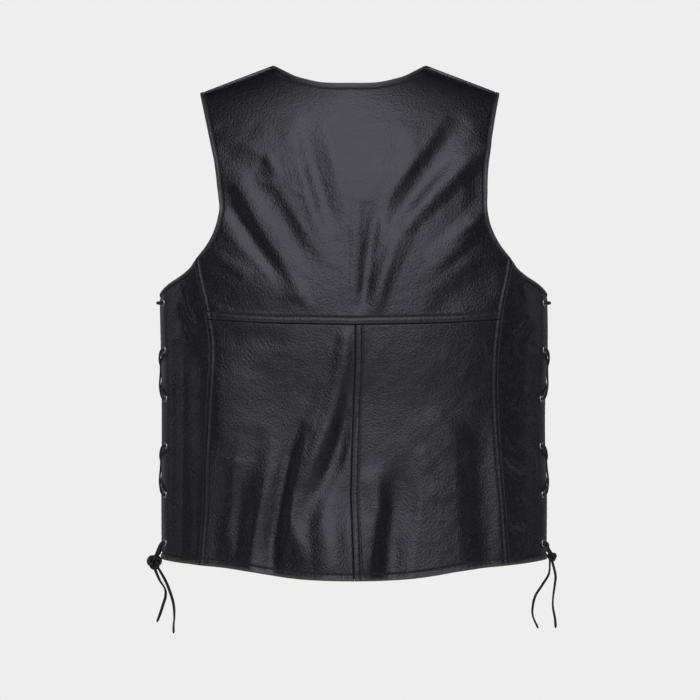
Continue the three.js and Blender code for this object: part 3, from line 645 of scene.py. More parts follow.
def nickel_plate():
    """Bright nickel plate on pressed brass, handled for a while: a warm silver whose gloss is
    broken by fine scuffs and a faint grey bloom."""
    material, shader = new_material("nickel_plate_bright", Metallic=1.0)
    place = object_place(material)
    bloom = noise(material, place, 1 / (3 * MM), 5, Roughness=0.7)
    scuffs = noise(material, place, 1 / (0.4 * MM), 2, Roughness=0.8)
    drive(
        material, shader, Base_Color=blend_colours(material, bloom, "#8f8d89", "#c9c7c2"),
        Roughness=ranged(material, bloom, 0.18, 0.36, 0.3, 0.7),
        Normal=bump(material, scuffs, 0.12, 0.05),
    )
    return material


def sewing_thread():
    """Bonded nylon thread, black: two plies whose twist gives each stitch fine slanting lights."""
    material, shader = new_material("thread_bonded_nylon", IOR=1.53, Roughness=0.42)
    plies = noise(material, object_place(material), 1 / (0.6 * MM), 2, Roughness=0.6)
    drive(
        material, shader, Base_Color=blend_colours(material, plies, "#09090b", "#151418"),
        Normal=bump(material, plies, 0.5, 0.08),
    )
    return material


def studio_floor():
    """Matt pale studio paint with a barely uneven roll-on finish."""
    material, shader = new_material("studio_floor_paint", Roughness=0.9)
    rolled = noise(material, object_place(material), 3, 3)
    drive(material, shader, Base_Color=blend_colours(material, rolled, "#e6e6e5", "#ebebea"))
    return material


LEATHER = garment_leather()
SUEDE = flesh_side()
EDGE = cut_edge()
LACING = lacing_leather()
NICKEL = nickel_plate()
THREAD = sewing_thread()
FLOOR = studio_floor()


def make_piece(name, points, faces, materials, slot, which=None, along=None, **shares):
    """Puts arrays into a mesh that rides on the body. points are millimetres, faces a list of index
    arrays, one for each number of corners, which gives each face's material, and shares are
    attributes of the points, such as how much paler an edge is painted for wear and highlight."""
    mesh = bpy.data.meshes.new(name)
    corners = np.concatenate([f.ravel() for f in faces])
    sizes = np.concatenate([np.full(len(f), f.shape[1]) for f in faces])
    mesh.vertices.add(len(points))
    mesh.vertices.foreach_set("co", (points * MM).astype(np.float32).ravel())
    mesh.loops.add(len(corners))
    mesh.loops.foreach_set("vertex_index", corners.astype(np.int32))
    mesh.polygons.add(len(sizes))
    starts = np.concatenate([[0], np.cumsum(sizes)[:-1]])
    mesh.polygons.foreach_set("loop_start", starts.astype(np.int32))
    mesh.polygons.foreach_set("use_smooth", np.ones(len(sizes), bool))
    for material in materials:
        mesh.materials.append(material)
    if which is not None:
        mesh.polygons.foreach_set("material_index", which.astype(np.int32))
    for share, values in shares.items():
        attribute = mesh.attributes.new(share, "FLOAT", "POINT")
        attribute.data.foreach_set("value", values.astype(np.float32))
    if along is not None:
        uv = mesh.uv_layers.new(name="along")
        uv.data.foreach_set("uv", along[corners].astype(np.float32).ravel())
    mesh.update(calc_edges=True)
    mesh.validate()
    piece = bpy.data.objects.new(name, mesh)
    bpy.context.scene.collection.objects.link(piece)
    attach(piece, BODY)
    return piece


def between_places(values, steps):
    """Values given at the places of a path, eased between them for each of its steps."""
    s = np.arange(steps)[None, :, None] / steps
    s = s * s * (3 - 2 * s)
    run = values[:-1, None] * (1 - s) + values[1:, None] * s
    return np.vstack([run.reshape(-1, values.shape[1]), values[-1]])


def strap_section(width, thickness, corner=0.42, per_corner=4):
    """A flat strap's section: a rectangle whose corners are quarter circles."""
    r = corner * thickness
    turn = np.radians(90 * np.arange(4)[:, None] + 90 * np.arange(per_corner) / (per_corner - 1))
    middle = np.array([[1, 1], [-1, 1], [-1, -1], [1, -1]]) * [width / 2 - r, thickness / 2 - r]
    return (middle[:, None] + r * np.stack([np.cos(turn), np.sin(turn)], -1)).reshape(-1, 2)


def ring_faces(rings, around, closed=False):
    """Faces of a tube whose points are rings of that many, one after the other: its wall, joined up
    where it is closed, and otherwise its two caps."""
    i, j = np.arange(rings if closed else rings - 1)[:, None], np.arange(around)[None]
    k, after = (j + 1) % around, (i + 1) % rings
    corners = (i * around + j, i * around + k, after * around + k, after * around + j)
    walls = np.stack(corners, -1).reshape(-1, 4)
    ring = np.arange(around)
    caps = np.stack([ring[::-1], (rings - 1) * around + ring])
    return [walls] if closed else [walls, caps]


WEAR_AND_HIGHLIGHT = 0.8  # how much paler an edge is painted at most: partly wear, partly painted highlight
STRAP_WEAR_AND_HIGHLIGHT = (0.8, 1.0)  # the share of a strap's half width where that starts and is full


def sweep(path, across, section, closed=False, sizes=None):
    """A strap along a path: at each of its points the section is laid out along the across
    direction, squared to the way, and the direction at right angles to both. Returns points, faces,
    the length and turn at each point, and how near each is to the strap's two edges."""
    if closed:
        way = unit(np.roll(path, -1, 0) - np.roll(path, 1, 0))
    else:
        way = unit(np.gradient(path, axis=0))
    side = unit(across - (across * way).sum(1, keepdims=True) * way)
    up = np.cross(way, side)
    grown = np.ones(len(path)) if sizes is None else sizes
    flat = section[None] * grown[:, None, None]
    points = path[:, None] + side[:, None] * flat[..., :1] + up[:, None] * flat[..., 1:]
    rings, around = points.shape[:2]
    run = run_along(path)
    along = np.stack(np.broadcast_arrays(run[:, None], np.arange(around)[None] / around), -1)
    edge = np.abs(section[:, 0]) / np.abs(section[:, 0]).max()
    worn = np.broadcast_to(smoothstep(edge, *STRAP_WEAR_AND_HIGHLIGHT) * WEAR_AND_HIGHLIGHT, (rings, around))
    faces = ring_faces(rings, around, closed)
    return points.reshape(-1, 3), faces, along.reshape(-1, 2), worn.ravel()


def lace_piece(name, node, path, across, section, **how):
    """A strap of the lacing leather in place of a node."""
    points, faces, along, worn = sweep(path, across, section, **how)
    piece = make_piece(
        name, points, faces, [LACING], "lace_leather", worn=worn, along=along
    )
    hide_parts(node)
    return piece


def edge_angle(z, part, inset=0.0):
    """The angle of a laced edge, or of a line that runs inset from it."""
    angle = angle_in_depth(LACE_GAP_HALF + inset, z, BACK if part == "back" else FRONT)
    return angle if part == "back" else 180 - angle


def eyelet_angle(z, part):
    return edge_angle(z, part, EYELET_INSET)


def seat(angle, z, height):
    """A place on the leather's face at a height above it, and the outward direction there."""
    angle, z = np.float64(angle), np.float64(z)
    point, normal = body_point(angle, z), body_normal(angle, z)
    return point + normal * (fold_lift(point) + height), normal


# The camera: level, with a long lens
camera = bpy.data.objects.new("camera", bpy.data.cameras.new("camera"))
camera.data.sensor_width = SENSOR
camera.data.lens = SENSOR * -CAMERA_PLACE[1] / VIEW_WIDTH
camera.location = CAMERA_PLACE
camera.rotation_euler = (np.pi / 2, 0, 0)
bpy.context.scene.collection.objects.link(camera)
bpy.context.scene.camera = camera

# The lacing's route, as in the CAD: a lace's heights above the leather at an eyelet and at the
# laced edge, and how far inside the half width the two strands of a cross pass
OUTSIDE = {"eyelet": 2.8, "edge": 2.0, "upper": 0.2, "lower": 3.1, "bar": 1.0}
INSIDE = {"eyelet": -5.0, "edge": -4.4, "upper": 5.2, "lower": 8.1}
EDGE_SHARE = EYELET_INSET / (2 * (EYELET_INSET + LACE_GAP_HALF))
KNOTS = {
    "left": {"centre": (-247, 0, -602.5), "radius": 4.9, "tube": 1.7},
    "right": {"centre": (250, 0, -596), "radius": 3.1, "tube": 1.15},
}
TIE = {"below": 4, "apart": 5.5, "above": 3.5, "inwards": 4.5, "beside": 1.3}
KNOT_DEPTH = 1.35
KNOT_TOP = {"front": 180, "back": 540}
KNOT_GAP = 0.9
KNOT_STRAP = (3.1, 2.9)  # the strap's width and thickness in the knot, in radii of the CAD's tube
KNOT_STEPS = 240
LACE_STEPS = 8  # of a lace's path between two places
# Free ends as they hang: the turn of the knot that they leave, and their places
LACE_ENDS = {
    "left": [
        (0, [(-240.5, 2, -625.5), (-234, 4, -636.6), (-233.4, 5, -645.5), (-236.3, 5, -655.6),
             (-240.6, 4, -669), (-244, 3, -677.9)]),
        (37, [(-232.9, -4, -625.5), (-227.3, -5, -638.8), (-222.8, -5, -654.5),
              (-221.8, -4, -670), (-222.8, -3, -681.3), (-222.8, -3, -691.3)]),
    ],
    "right": [
        (-37, [(246.3, 3, -617.5), (238.6, 5, -631), (229.6, 6, -645.5), (226.3, 6, -658.8),
               (226.3, 5, -670), (233, 4, -685.8)]),
        (0, [(254.3, -2, -619.9), (253.2, -3, -631), (250.9, -4, -647.8), (250.9, -4, -658.9),
             (253.6, -3, -673.5), (254.3, -3, -684.6)]),
    ],
}


def knot_point(name, turn):
    """The knot's middle line, a trefoil with a lobe straight down: twice round its centre while its
    reach r(2 + cos 1.5t)/2 and its depth r sin(1.5t)/2, deepened as in the CAD, swing three
    times."""
    radius, centre = KNOTS[name]["radius"], np.array(KNOTS[name]["centre"], float)
    t = np.radians(np.asarray(turn, float))
    reach = radius * (2 + np.cos(1.5 * t)) / 2
    depth = radius * np.sin(1.5 * t) / 2 * KNOT_DEPTH
    return centre + np.stack([reach * np.sin(t), -depth, -reach * np.cos(t)], -1)


def out_of_knot(name, turn, place):
    """Where a lace comes out of its knot on its way to a place."""
    start = knot_point(name, turn)
    return start + unit(np.asarray(place, float) - start) * (KNOTS[name]["tube"] + KNOT_GAP)


def strand(sign, start_part, layer):
    """One strand down a side: for each row in through one eyelet and out through the next, with the
    places where it leaves the laced edges and crosses the gap. Returns the places, the direction
    its flat side lies across at each, and the part that it ends on."""
    places, widths = [], []
    part, come, last = start_part, OUTSIDE, len(EYELET_HEIGHTS) - 1
    arriving = None
    for row, z in enumerate(EYELET_HEIGHTS):
        go = INSIDE if come is OUTSIDE else OUTSIDE
        way = np.array([0, 1 if part == "back" else -1, -1.0])
        for step, which in enumerate((come, go)):
            point, normal = seat(sign * eyelet_angle(z, part), z, which["eyelet"])
            heading = way if step or arriving is None else arriving
            places.append(point)
            widths.append(np.cross(normal, heading))
        if row < last:
            below = EYELET_HEIGHTS[row + 1]
            other = "front" if part == "back" else "back"
            for share, where in ((EDGE_SHARE, part), (0.5, None), (1 - EDGE_SHARE, other)):
                height = mix(z, below, share)
                if where is None:
                    x = sign * (curve(HALF, height) - go[layer]) + curve(LEAN, height)
                    point, normal = np.array([x, 0, height]), np.array([sign, 0, 0.0])
                else:
                    point, normal = seat(sign * edge_angle(height, where), height, go["edge"])
                places.append(point)
                widths.append(np.cross(normal, way))
            part, arriving = other, way
        come = go
    return places, widths, part


def side_lacing(name, sign):
    """A side's lace: a bar across the top row, two strands down, and side by side into the knot."""

    def tied(start_part, layer):
        places, widths, part = strand(sign, start_part, layer)
        way = -1 if part == "back" else 1
        low = EYELET_HEIGHTS[-1] - TIE["below"]
        knot_x, _, knot_z = KNOTS[name]["centre"]
        above = np.array([
            knot_x - sign * TIE["inwards"] + way * TIE["beside"], way * TIE["apart"],
            knot_z + KNOTS[name]["radius"] * 1.5 + TIE["above"],
        ])
        leaving, normal = seat(sign * edge_angle(low, part), low, OUTSIDE["edge"])
        places += [leaving, above, out_of_knot(name, KNOT_TOP[part], above)]
        places.append(knot_point(name, KNOT_TOP[part]))
        widths += [np.cross(normal, [0, -way, -1.0])] + [np.array([0.87, 0, 0.5 * sign])] * 3
        return places, widths

    top = EYELET_HEIGHTS[0]
    x = sign * (curve(HALF, top) + OUTSIDE["bar"]) + curve(LEAN, top)
    bar = [np.array([x, y, top]) for y in (-LACE_GAP_HALF, 0, LACE_GAP_HALF)]
    back, back_widths = tied("back", "upper")
    front, front_widths = tied("front", "lower")
    places = np.array(back[::-1] + bar + front)
    widths = np.array(back_widths[::-1] + [np.array([0, 0, 1.0])] * 3 + front_widths)
    # A flat strap looks the same turned half way round, so each direction follows the one before.
    turned = np.cumprod(np.sign((widths[1:] * widths[:-1]).sum(1) + 1e-9))
    widths[1:] *= turned[:, None]
    path = smooth_path(places, LACE_STEPS)
    across = between_places(unit(widths), LACE_STEPS)
    section = strap_section(LACE_WIDTH, LACE_THICKNESS)
    lace_piece(f"lacing_{name}", f"lace_{name}", path, across, section)


def tied_knot(name):
    """The knot: a wider strap drawn tight along the trefoil, its flat side facing out of the
    knot."""
    turn = np.linspace(0, 720, KNOT_STEPS, endpoint=False)
    path = knot_point(name, turn)
    centre = np.array(KNOTS[name]["centre"], float)
    ring = centre + KNOTS[name]["radius"] * np.stack(
        [np.sin(np.radians(turn)), 0 * turn, -np.cos(np.radians(turn))], -1
    )
    outward = unit(path - ring) + 0.6 * unit(path - centre)
    way = unit(np.roll(path, -1, 0) - np.roll(path, 1, 0))
    tube = KNOTS[name]["tube"]
    section = strap_section(tube * KNOT_STRAP[0], tube * KNOT_STRAP[1])
    across = np.cross(outward, way)
    lace_piece(f"lace_knot_{name}", f"knot_{name}", path, across, section, closed=True)


def free_end(name, number, turn, places, width, twist):
    """A lace's free end: a strap that hangs from the knot, twisting evenly and narrowing at its
    tip.
    """
    places = np.array(places, float)
    start = knot_point(name, turn)
    out = out_of_knot(name, turn, places[0])
    path = smooth_path(np.vstack([start, out, places]), LACE_STEPS)
    run = run_along(path)
    angle = np.radians(twist[0] + (twist[1] - twist[0]) * run / run[-1])
    across = np.stack([np.cos(angle), np.sin(angle), 0.15 + 0 * angle], -1)
    tip = 1 - 0.35 * smoothstep(run, run[-1] - 3, run[-1])
    piece = lace_piece(
        f"free_lace_{name}_{number}", f"lace_end_{name}_{number}", path, across,
        strap_section(width, LACE_THICKNESS), sizes=tip,
    )


for name, sign in SIDES.items():
    side_lacing(name, sign)
    tied_knot(name)
END_TWISTS = {"left": (3.7, (20, 250), (80, -120)), "right": (3.2, (60, 300), (10, -170))}
for name, (width, *twists) in END_TWISTS.items():
    for number, (twist, end) in enumerate(zip(twists, LACE_ENDS[name]), 1):
        free_end(name, number, *end, width, twist)


# Distances from an edge at which the grid has lines: close where it is rounded, banded and stitched
NEAR = np.array([
    0, 0.06, 0.18, 0.38, 0.65, 1.0, 1.5, 2.1, 2.7, 3.3, 3.9, 4.5, 5.1, 5.7, 6.3, 6.9, 7.5, 8.1, 8.7,
    9.3, 10.0, 11.0,
])
WEAR_AND_HIGHLIGHT_REACH = 5.6
CUT_ROUND = 0.8
SEAM_ROUND = 1.7
CROWN = 0.45  # a band's crown as a share of its rise


def line_shares(length, pitch, extra=(), start=NEAR, end=NEAR):
    """Shares of a length for its grid lines: those near both ends, even ones between, and extra."""
    inside = length - SEAM_GAP
    count = int(np.ceil((inside - start[-1] - end[-1]) / pitch))
    even = np.linspace(start[-1], inside - end[-1], count + 1)
    lines = np.concatenate([start, even, inside - end, np.asarray(extra, float)])
    lines = np.unique(lines.round(5))
    return (lines[np.concatenate([[True], np.diff(lines) > 1e-4])] + SEAM_GAP / 2) / length


def shoulder_shares(tall, depth, pitch):
    """Shares of a panel's height near the shoulder seam, where the body closes over: they step
    evenly in depth, as the leather there runs level."""
    y = np.arange(SEAM_GAP / 2, 0.86 * depth, pitch)
    return 1 - SHOULDER_ROUND * (1 - closing(y / depth)) / tall


def edge_distances(base):
    """For each of a grid's four edges, each point's distance from it and how far along it the point
    is: the length of the grid line to the edge times the sine of the angle at which it meets it."""
    found = {}
    for edge, (grid, back) in {
        "start": (base, lambda a: a),
        "end": (base[:, ::-1], lambda a: a[:, ::-1]),
        "low": (base.transpose(1, 0, 2), lambda a: a.T),
        "high": (base[::-1].transpose(1, 0, 2), lambda a: a.T[::-1]),
    }.items():
        steps = np.linalg.norm(np.diff(grid, axis=1), axis=-1)
        reach = np.concatenate([np.zeros((len(grid), 1)), np.cumsum(steps, axis=1)], axis=1)
        edge_line = grid[:, 0]
        near = min(12, grid.shape[1] - 1)
        way_in = unit(grid[:, near] - edge_line)
        index = np.arange(len(edge_line))
        ahead, behind = np.minimum(index + 3, index[-1]), np.maximum(index - 3, 0)
        way_on = unit(edge_line[ahead] - edge_line[behind])
        cosine = (way_in * way_on).sum(1)
        sine = np.sqrt(np.maximum(1 - cosine**2, 0.05))
        on = run_along(edge_line)[:, None] + reach * cosine[:, None]
        found[edge] = (back(reach * sine[:, None]), back(on))
    return found


def band(distance, rise, width):
    """A raised edge: its rise up to its width, crowned by half a sine wave, then down over the
    step."""
    crown = CROWN * rise * np.sin(np.pi * np.clip(distance / width, 0, 1))
    return (rise + crown) * (1 - smoothstep(distance, width - 0.2, width + BAND_STEP))


def rounded(distance, radius):
    """How far a quarter-round corner lies below the flat: r less the root of r^2 - (r - d)^2."""
    left = np.clip(radius - distance, 0, radius)
    return radius - np.sqrt(radius**2 - left**2)


PUCKERS = (9.3, 5.9, 71)  # lengths of two waves, and of the swell that both follow
PUCKER_HEIGHT = 0.13
PUCKER_REACH = 3.4


def sewn(distance, along, at, depth, seed):
    """A row of stitches draws the leather down into a groove and puckers it beside that: waves of
    about 9 and 6 mm along the row, which die out 5 mm from it. Returns the lift and the groove's
    share."""
    chance = np.random.default_rng(seed).random(3) * 2 * np.pi
    long, short, swell = (
        np.sin(2 * np.pi * along / length + phase) for length, phase in zip(PUCKERS, chance)
    )
    waves = (long + 0.7 * short) * (0.6 + 0.4 * swell)
    groove = np.exp(-((distance - at) ** 2))
    pucker = PUCKER_HEIGHT * waves * np.exp(-(((distance - at) / PUCKER_REACH) ** 2))
    return pucker - depth * groove, groove


def line_at(distance, at, fields):
    """Along each grid line in from an edge, the fields' values where the distance reaches a
    value."""
    index = np.clip((distance < at).sum(1), 1, distance.shape[1] - 1)
    row = np.arange(len(distance))
    low, high = distance[row, index - 1], distance[row, index]
    share = ((at - low) / (high - low))[:, None]
    return [mix(f[row, index - 1], f[row, index], share) for f in fields]


STITCH = 2.8  # from one stitch to the next
# A stitch's rings: place along it, radius, and height over the leather's face
STITCH_RINGS = np.array([
    (-1.2, 0.1, -0.5), (-0.7, 0.32, -0.1), (0.7, 0.32, -0.1), (1.2, 0.1, -0.5),
])
STITCH_SIDES = 4


def stitches(name, rows):
    """All of a panel's stitches in one mesh: short threads that arch out of the groove, one each
    stitch length along every row. A row is its points, the outward directions and two trims."""
    places, ways, outs = [], [], []
    for line, normal, trim_start, trim_end in rows:
        run = run_along(line)
        at = np.arange(trim_start + STITCH / 2, run[-1] - trim_end - STITCH / 2, STITCH)

        def along(values, where):
            return np.stack([np.interp(where, run, values[:, k]) for k in range(3)], -1)

        places.append(along(line, at))
        ways.append(unit(along(line, at + 1) - along(line, at - 1)))
        outs.append(unit(along(normal, at)))
    place, way, out = (np.concatenate(a)[:, None, None] for a in (places, ways, outs))
    side = np.cross(out, way)
    turn = 2 * np.pi * np.arange(STITCH_SIDES) / STITCH_SIDES
    x, radius, height = (STITCH_RINGS[:, k][:, None, None] for k in range(3))
    points = (
        place + way * x + side * radius * np.cos(turn)[:, None]
        + out * (height + radius * np.sin(turn)[:, None])
    )
    first = np.arange(len(place))[:, None, None] * len(STITCH_RINGS) * STITCH_SIDES
    one = ring_faces(len(STITCH_RINGS), STITCH_SIDES)
    faces = [(first + part).reshape(-1, part.shape[1]) for part in one]
    return make_piece(name, points.reshape(-1, 3), faces, [THREAD], None)


NEAR_A_HOLE = 12  # farther from its centre than this, a point is on the wall's other side


def shell(name, node, outer, inner, slot, flip, holes, raw, worn, sunken):
    """A leather panel's closed wall from the grids of its two faces, with the punched holes cut out
    and their rims drawn to the punch's circle. raw names the edges where the cut hide shows."""
    rows, columns = outer.shape[:2]
    gone = np.zeros((rows - 1, columns - 1), bool)
    size = rows * columns
    at = np.arange(size).reshape(rows, columns)
    for centre, axis in holes:
        off = outer - centre
        off = off - (off @ axis)[..., None] * axis
        far = np.linalg.norm(off, axis=-1)
        quad_far = (far[:-1, :-1] + far[1:, :-1] + far[:-1, 1:] + far[1:, 1:]) / 4
        same_side = np.linalg.norm(outer - centre, axis=-1)[:-1, :-1] < NEAR_A_HOLE
        hole = (quad_far < PUNCHED_RADIUS) & same_side
        gone |= hole
        touched = np.zeros((rows, columns, 2), bool)
        for k, mask in enumerate((hole, ~hole)):
            for di in (0, 1):
                for dj in (0, 1):
                    touched[di : rows - 1 + di, dj : columns - 1 + dj, k] |= mask
        rim = touched.all(-1)
        move = unit(off[rim]) * (PUNCHED_RADIUS - far[rim])[:, None]
        outer[rim] += move
        inner[rim] += move
    a, b, c, d = at[:-1, :-1], at[:-1, 1:], at[1:, 1:], at[1:, :-1]
    face = np.stack([a, b, c, d], -1)[~gone]
    grain, flesh = face, face[:, ::-1] + size

    def wall(first, second):
        """Quads from the outer face's edge to the inner's, for edges whose leather is on their
        left."""
        return np.stack([second, first, first + size, second + size], -1)

    rims = {
        "low": wall(at[0, :-1], at[0, 1:]), "end": wall(at[:-1, -1], at[1:, -1]),
        "high": wall(at[-1, 1:], at[-1, :-1]), "start": wall(at[1:, 0], at[:-1, 0]),
    }
    inside = []
    across, up = gone[1:] != gone[:-1], gone[:, 1:] != gone[:, :-1]
    for hole_below in (True, False):
        pick = across & (gone[:-1] == hole_below)
        ends = (at[1:-1, :-1][pick], at[1:-1, 1:][pick])
        inside.append(wall(*(ends if hole_below else ends[::-1])))
        pick = up & (gone[:, :-1] == hole_below)
        ends = (at[:-1, 1:-1][pick], at[1:, 1:-1][pick])
        inside.append(wall(*(ends[::-1] if hole_below else ends)))
    parts = [grain, flesh, *rims.values(), *inside]
    kinds = [0, 1, *[2 if edge in raw else 0 for edge in rims], 2, 2, 2, 2]
    faces = np.concatenate(parts)
    which = np.concatenate([np.full(len(p), k) for p, k in zip(parts, kinds)])
    if flip:
        faces = faces[:, ::-1]
    piece = make_piece(
        name, np.concatenate([outer.reshape(-1, 3), inner.reshape(-1, 3)]), [faces],
        [LEATHER, SUEDE, EDGE], slot, which=which, worn=np.tile(worn.ravel(), 2),
        sunken=np.tile(sunken.ravel(), 2),
    )
    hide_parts(node)
    return piece


CALM_REACH = 16  # how far in from a seam the creases grow to their full height
SEAM_SHADE = (0.3, 1.5)  # where the shade beside a seam is full and ends
UNEVEN = ((0.2, (26, 60)), (0.08, (11, 20)))  # heights and wavelengths of the leather's waviness


def leather_panel(
    name, node, across, up, place, edges, creases, sign, seed, holes=(), raw=()
):
    """A panel: the body over a grid, lifted by folds, creases and a soft unevenness, which die out
    towards its seams, and by what is done at its edges. edges gives for each edge its rise, the
    band's width, and its rows of stitches: distance, groove's depth and the trims of its two
    ends."""
    u, v = np.meshgrid(across, up)
    angle, z, sunk = place(u, v)
    base, normal = body_point(angle, z), body_normal(angle, z)
    distances = edge_distances(base)
    calm = np.ones(u.shape)
    for edge, (distance, _) in distances.items():
        if edge not in raw:
            calm *= smoothstep(distance, 0, CALM_REACH) * 0.8 + 0.2
    broad, narrow = (
        height * unevenness(base, lengths, seed + number)
        for number, (height, lengths) in enumerate(UNEVEN)
    )
    fine = crease_lift(base, creases) + fold_fade(base) * (broad + narrow)
    lift = fold_lift(base) - sunk + fine * calm
    if "front" not in name:
        lift = lift + crease_lift(base, FULLNESS)
    inner = base + normal * (lift - WALL)[..., None]
    worn, sunken, proud = np.zeros((3, *u.shape))
    for edge, (rise, width, rows) in edges.items():
        proud = np.maximum(proud, band(distances[edge][0], rise, width))
    for number, (edge, (rise, width, rows)) in enumerate(edges.items()):
        distance, on = distances[edge]
        proud = proud - rounded(distance, CUT_ROUND if edge in raw else SEAM_ROUND)
        # Raw edges are painted paler: partly wear, partly painted highlight along the rim.
        if edge in raw:
            reach = min(width, WEAR_AND_HIGHLIGHT_REACH)
            edge_wear_and_highlight = WEAR_AND_HIGHLIGHT * (1 - smoothstep(distance, 0.3 * reach, reach))
            if node == "back_yoke" and edge != "high":
                edge_wear_and_highlight = edge_wear_and_highlight * smoothstep(base[..., 2], ARMPIT - 2, ARMPIT + 6)
            worn = np.maximum(worn, edge_wear_and_highlight)
        else:
            # Painted shade beside a seam: the leather is painted darker there.
            sunken = np.maximum(sunken, 1 - smoothstep(distance, *SEAM_SHADE))
        for row, (at, depth, _) in enumerate(rows):
            drawn, groove = sewn(distance, on, at, depth, seed + 10 * number + row)
            proud = proud + drawn
            # Painted shade in a stitch groove, as strong as the groove is deep.
            sunken = np.maximum(sunken, groove * depth)
    outer = base + normal * (lift + proud)[..., None]
    rows = []
    for edge, (_, _, stitched) in edges.items():
        fields = [distances[edge][0], outer, normal]
        if edge in ("low", "high"):
            fields = [f.swapaxes(0, 1) for f in fields]
        if edge in ("end", "high"):
            fields = [f[:, ::-1] for f in fields]
        for at, _, trim in stitched:
            rows.append((*line_at(fields[0], at, fields[1:]), *trim))
    stitching = stitches(f"stitches_{name}", rows)
    piece = shell(name, node, outer, inner, "vest_leather", sign < 0, holes, raw, worn, sunken)


YOKE_HALF = 180.0
YOKE_TALL = TIP_HEIGHT - curve(CROSS_SEAM, 1)
HEM_START, HEM_END = curve(HEM, 0), curve(HEM, PRINCESS_ANGLE)  # of a lower back's hem
LOWER_TALL = curve(CROSS_SEAM, 1) - HEM_END
SIDE_TALL = ARMPIT - HEM_END
FRONT_TALL = TIP_HEIGHT - curve(HEM, 180 - LACED_ANGLE)


def yoke_place(u, v):
    """The yoke: across from edge to edge, and up from the cross seam to the neck and shoulder
    line."""
    level = mix(curve(CROSS_SEAM, 1), TIP_HEIGHT, v)
    distance = np.where(level > ARMPIT, curve(BACK_ARMHOLE, level), curve(PRINCESS_SEAM, level))
    edge = angle_across(distance, level)
    top_edge = angle_across(TIP_HALF, TIP_HEIGHT)

    def top_line(x):
        return np.where(x < NECK_HALF, curve(NECKLINE, x), shoulder_height(x))

    top = top_height(u * top_edge, top_line)
    return u * edge, mix(curve(CROSS_SEAM, np.abs(u)), top, v), 0.0


def lower_back_place(sign):
    """A lower back piece: from the centre seam out to the princess seam, and from the hem up."""

    def place(u, v):
        centre_z = mix(HEM_START, curve(CROSS_SEAM, 0), v)
        seam_z = mix(HEM_END, curve(CROSS_SEAM, 1), v)
        angle = mix(seam_angle(CENTRE_SEAM, centre_z), sign * seam_angle(PRINCESS_SEAM, seam_z), u)
        centre, princess = seam_angle(CENTRE_SEAM, HEM_START), seam_angle(PRINCESS_SEAM, HEM_END)
        low = mix(centre, sign * princess, u)
        return angle, mix(curve(HEM, np.abs(low)), curve(CROSS_SEAM, u), v), 0.0

    return place


def side_back_place(sign):
    """A side back piece: from the princess seam round to the laced edge, and from the hem up."""

    def turned(u, v):
        seam_z = mix(HEM_END, ARMPIT, v)
        laced_z = mix(curve(HEM, LACED_ANGLE), LACED_TOP, v)
        return mix(seam_angle(PRINCESS_SEAM, seam_z), edge_angle(laced_z, "back"), u)

    def place(u, v):
        return sign * turned(u, v), mix(curve(HEM, turned(u, 0 * v)), curve(UNDERARM, u), v), 0.0

    return place


def front_place(sign):
    """A front: from the laced edge to the middle, and up to the armhole, shoulder seam and V neck.
    The right one steps in below the left near the middle."""

    def turned(u, v):
        z = mix(curve(HEM, 180 - LACED_ANGLE), TIP_HEIGHT, v)
        armhole = 180 - seam_angle(FRONT_ARMHOLE, z)
        outer = np.where(z <= LACED_TOP + 0.01, edge_angle(z, "front"), armhole)
        middle_z = mix(curve(HEM, 180), NECK_HEIGHT, v)
        return mix(outer, 180 - seam_angle(FRONT_EDGE, middle_z), u)

    def place(u, v):
        angle = turned(u, v)
        top = top_height(turned(u, 0 * v + 1), shoulder_height)
        z = mix(curve(HEM, turned(u, 0 * v)), top, v)
        from_middle = curve(HALF, z) * shares(angle)[0]
        under = 1 - smoothstep(from_middle, UNDERLAP_TO, UNDERLAP_FROM)
        closed = 1 - smoothstep(z, LACED_TOP, LACED_TOP + UNDERLAP_FADE)
        return sign * angle, z, UNDERLAP * under * closed * (sign > 0)

    return place


def eyelet_places(sign, part):
    return [seat(sign * eyelet_angle(z, part), z, 0) for z in EYELET_HEIGHTS]


TRIM = (1.5, 1.5)
PLAIN = (0.0, 1.0, [])
ARMHOLE = (BAND_RISE, PRINCESS_BAND, [(5.7, 0.8, TRIM)])
HEM_EDGE = (BAND_RISE, 7.2, [(8.0, 0.8, TRIM)])
LACED_EDGE = (0.3, 22.0, [(3.2, 0.5, TRIM), (22.6, 0.6, TRIM)])
UNDERARM_EDGE = (0.45, 4.6, [(5.2, 0.7, TRIM)])
FRONT_EDGE_SEWN = (0.35, 20.0, [(3.2, 0.6, TRIM), (20.6, 0.6, TRIM)])
PITCH = 2.0  # between grid lines, where nothing needs them closer
half_yoke = line_shares(YOKE_HALF, PITCH, start=np.array([0.0]))
yoke_across = np.unique(np.concatenate([-half_yoke, half_yoke]).round(9))
yoke_up = np.unique(np.concatenate([
    line_shares(YOKE_TALL, PITCH), shoulder_shares(YOKE_TALL, 60, 1.8),
]).round(9))
leather_panel(
    "leather_yoke", "back_yoke", yoke_across, yoke_up, yoke_place,
    {
        "low": (BAND_RISE, 7.4, [(2.6, 0.35, (6, 6)), (8.7, 0.8, (6, 6))]),
        "start": ARMHOLE, "end": ARMHOLE, "high": (0.45, 7.4, [(8.2, 0.8, TRIM)]),
    },
    YOKE_CREASES, 1, 11, raw=("high", "start", "end"),
)

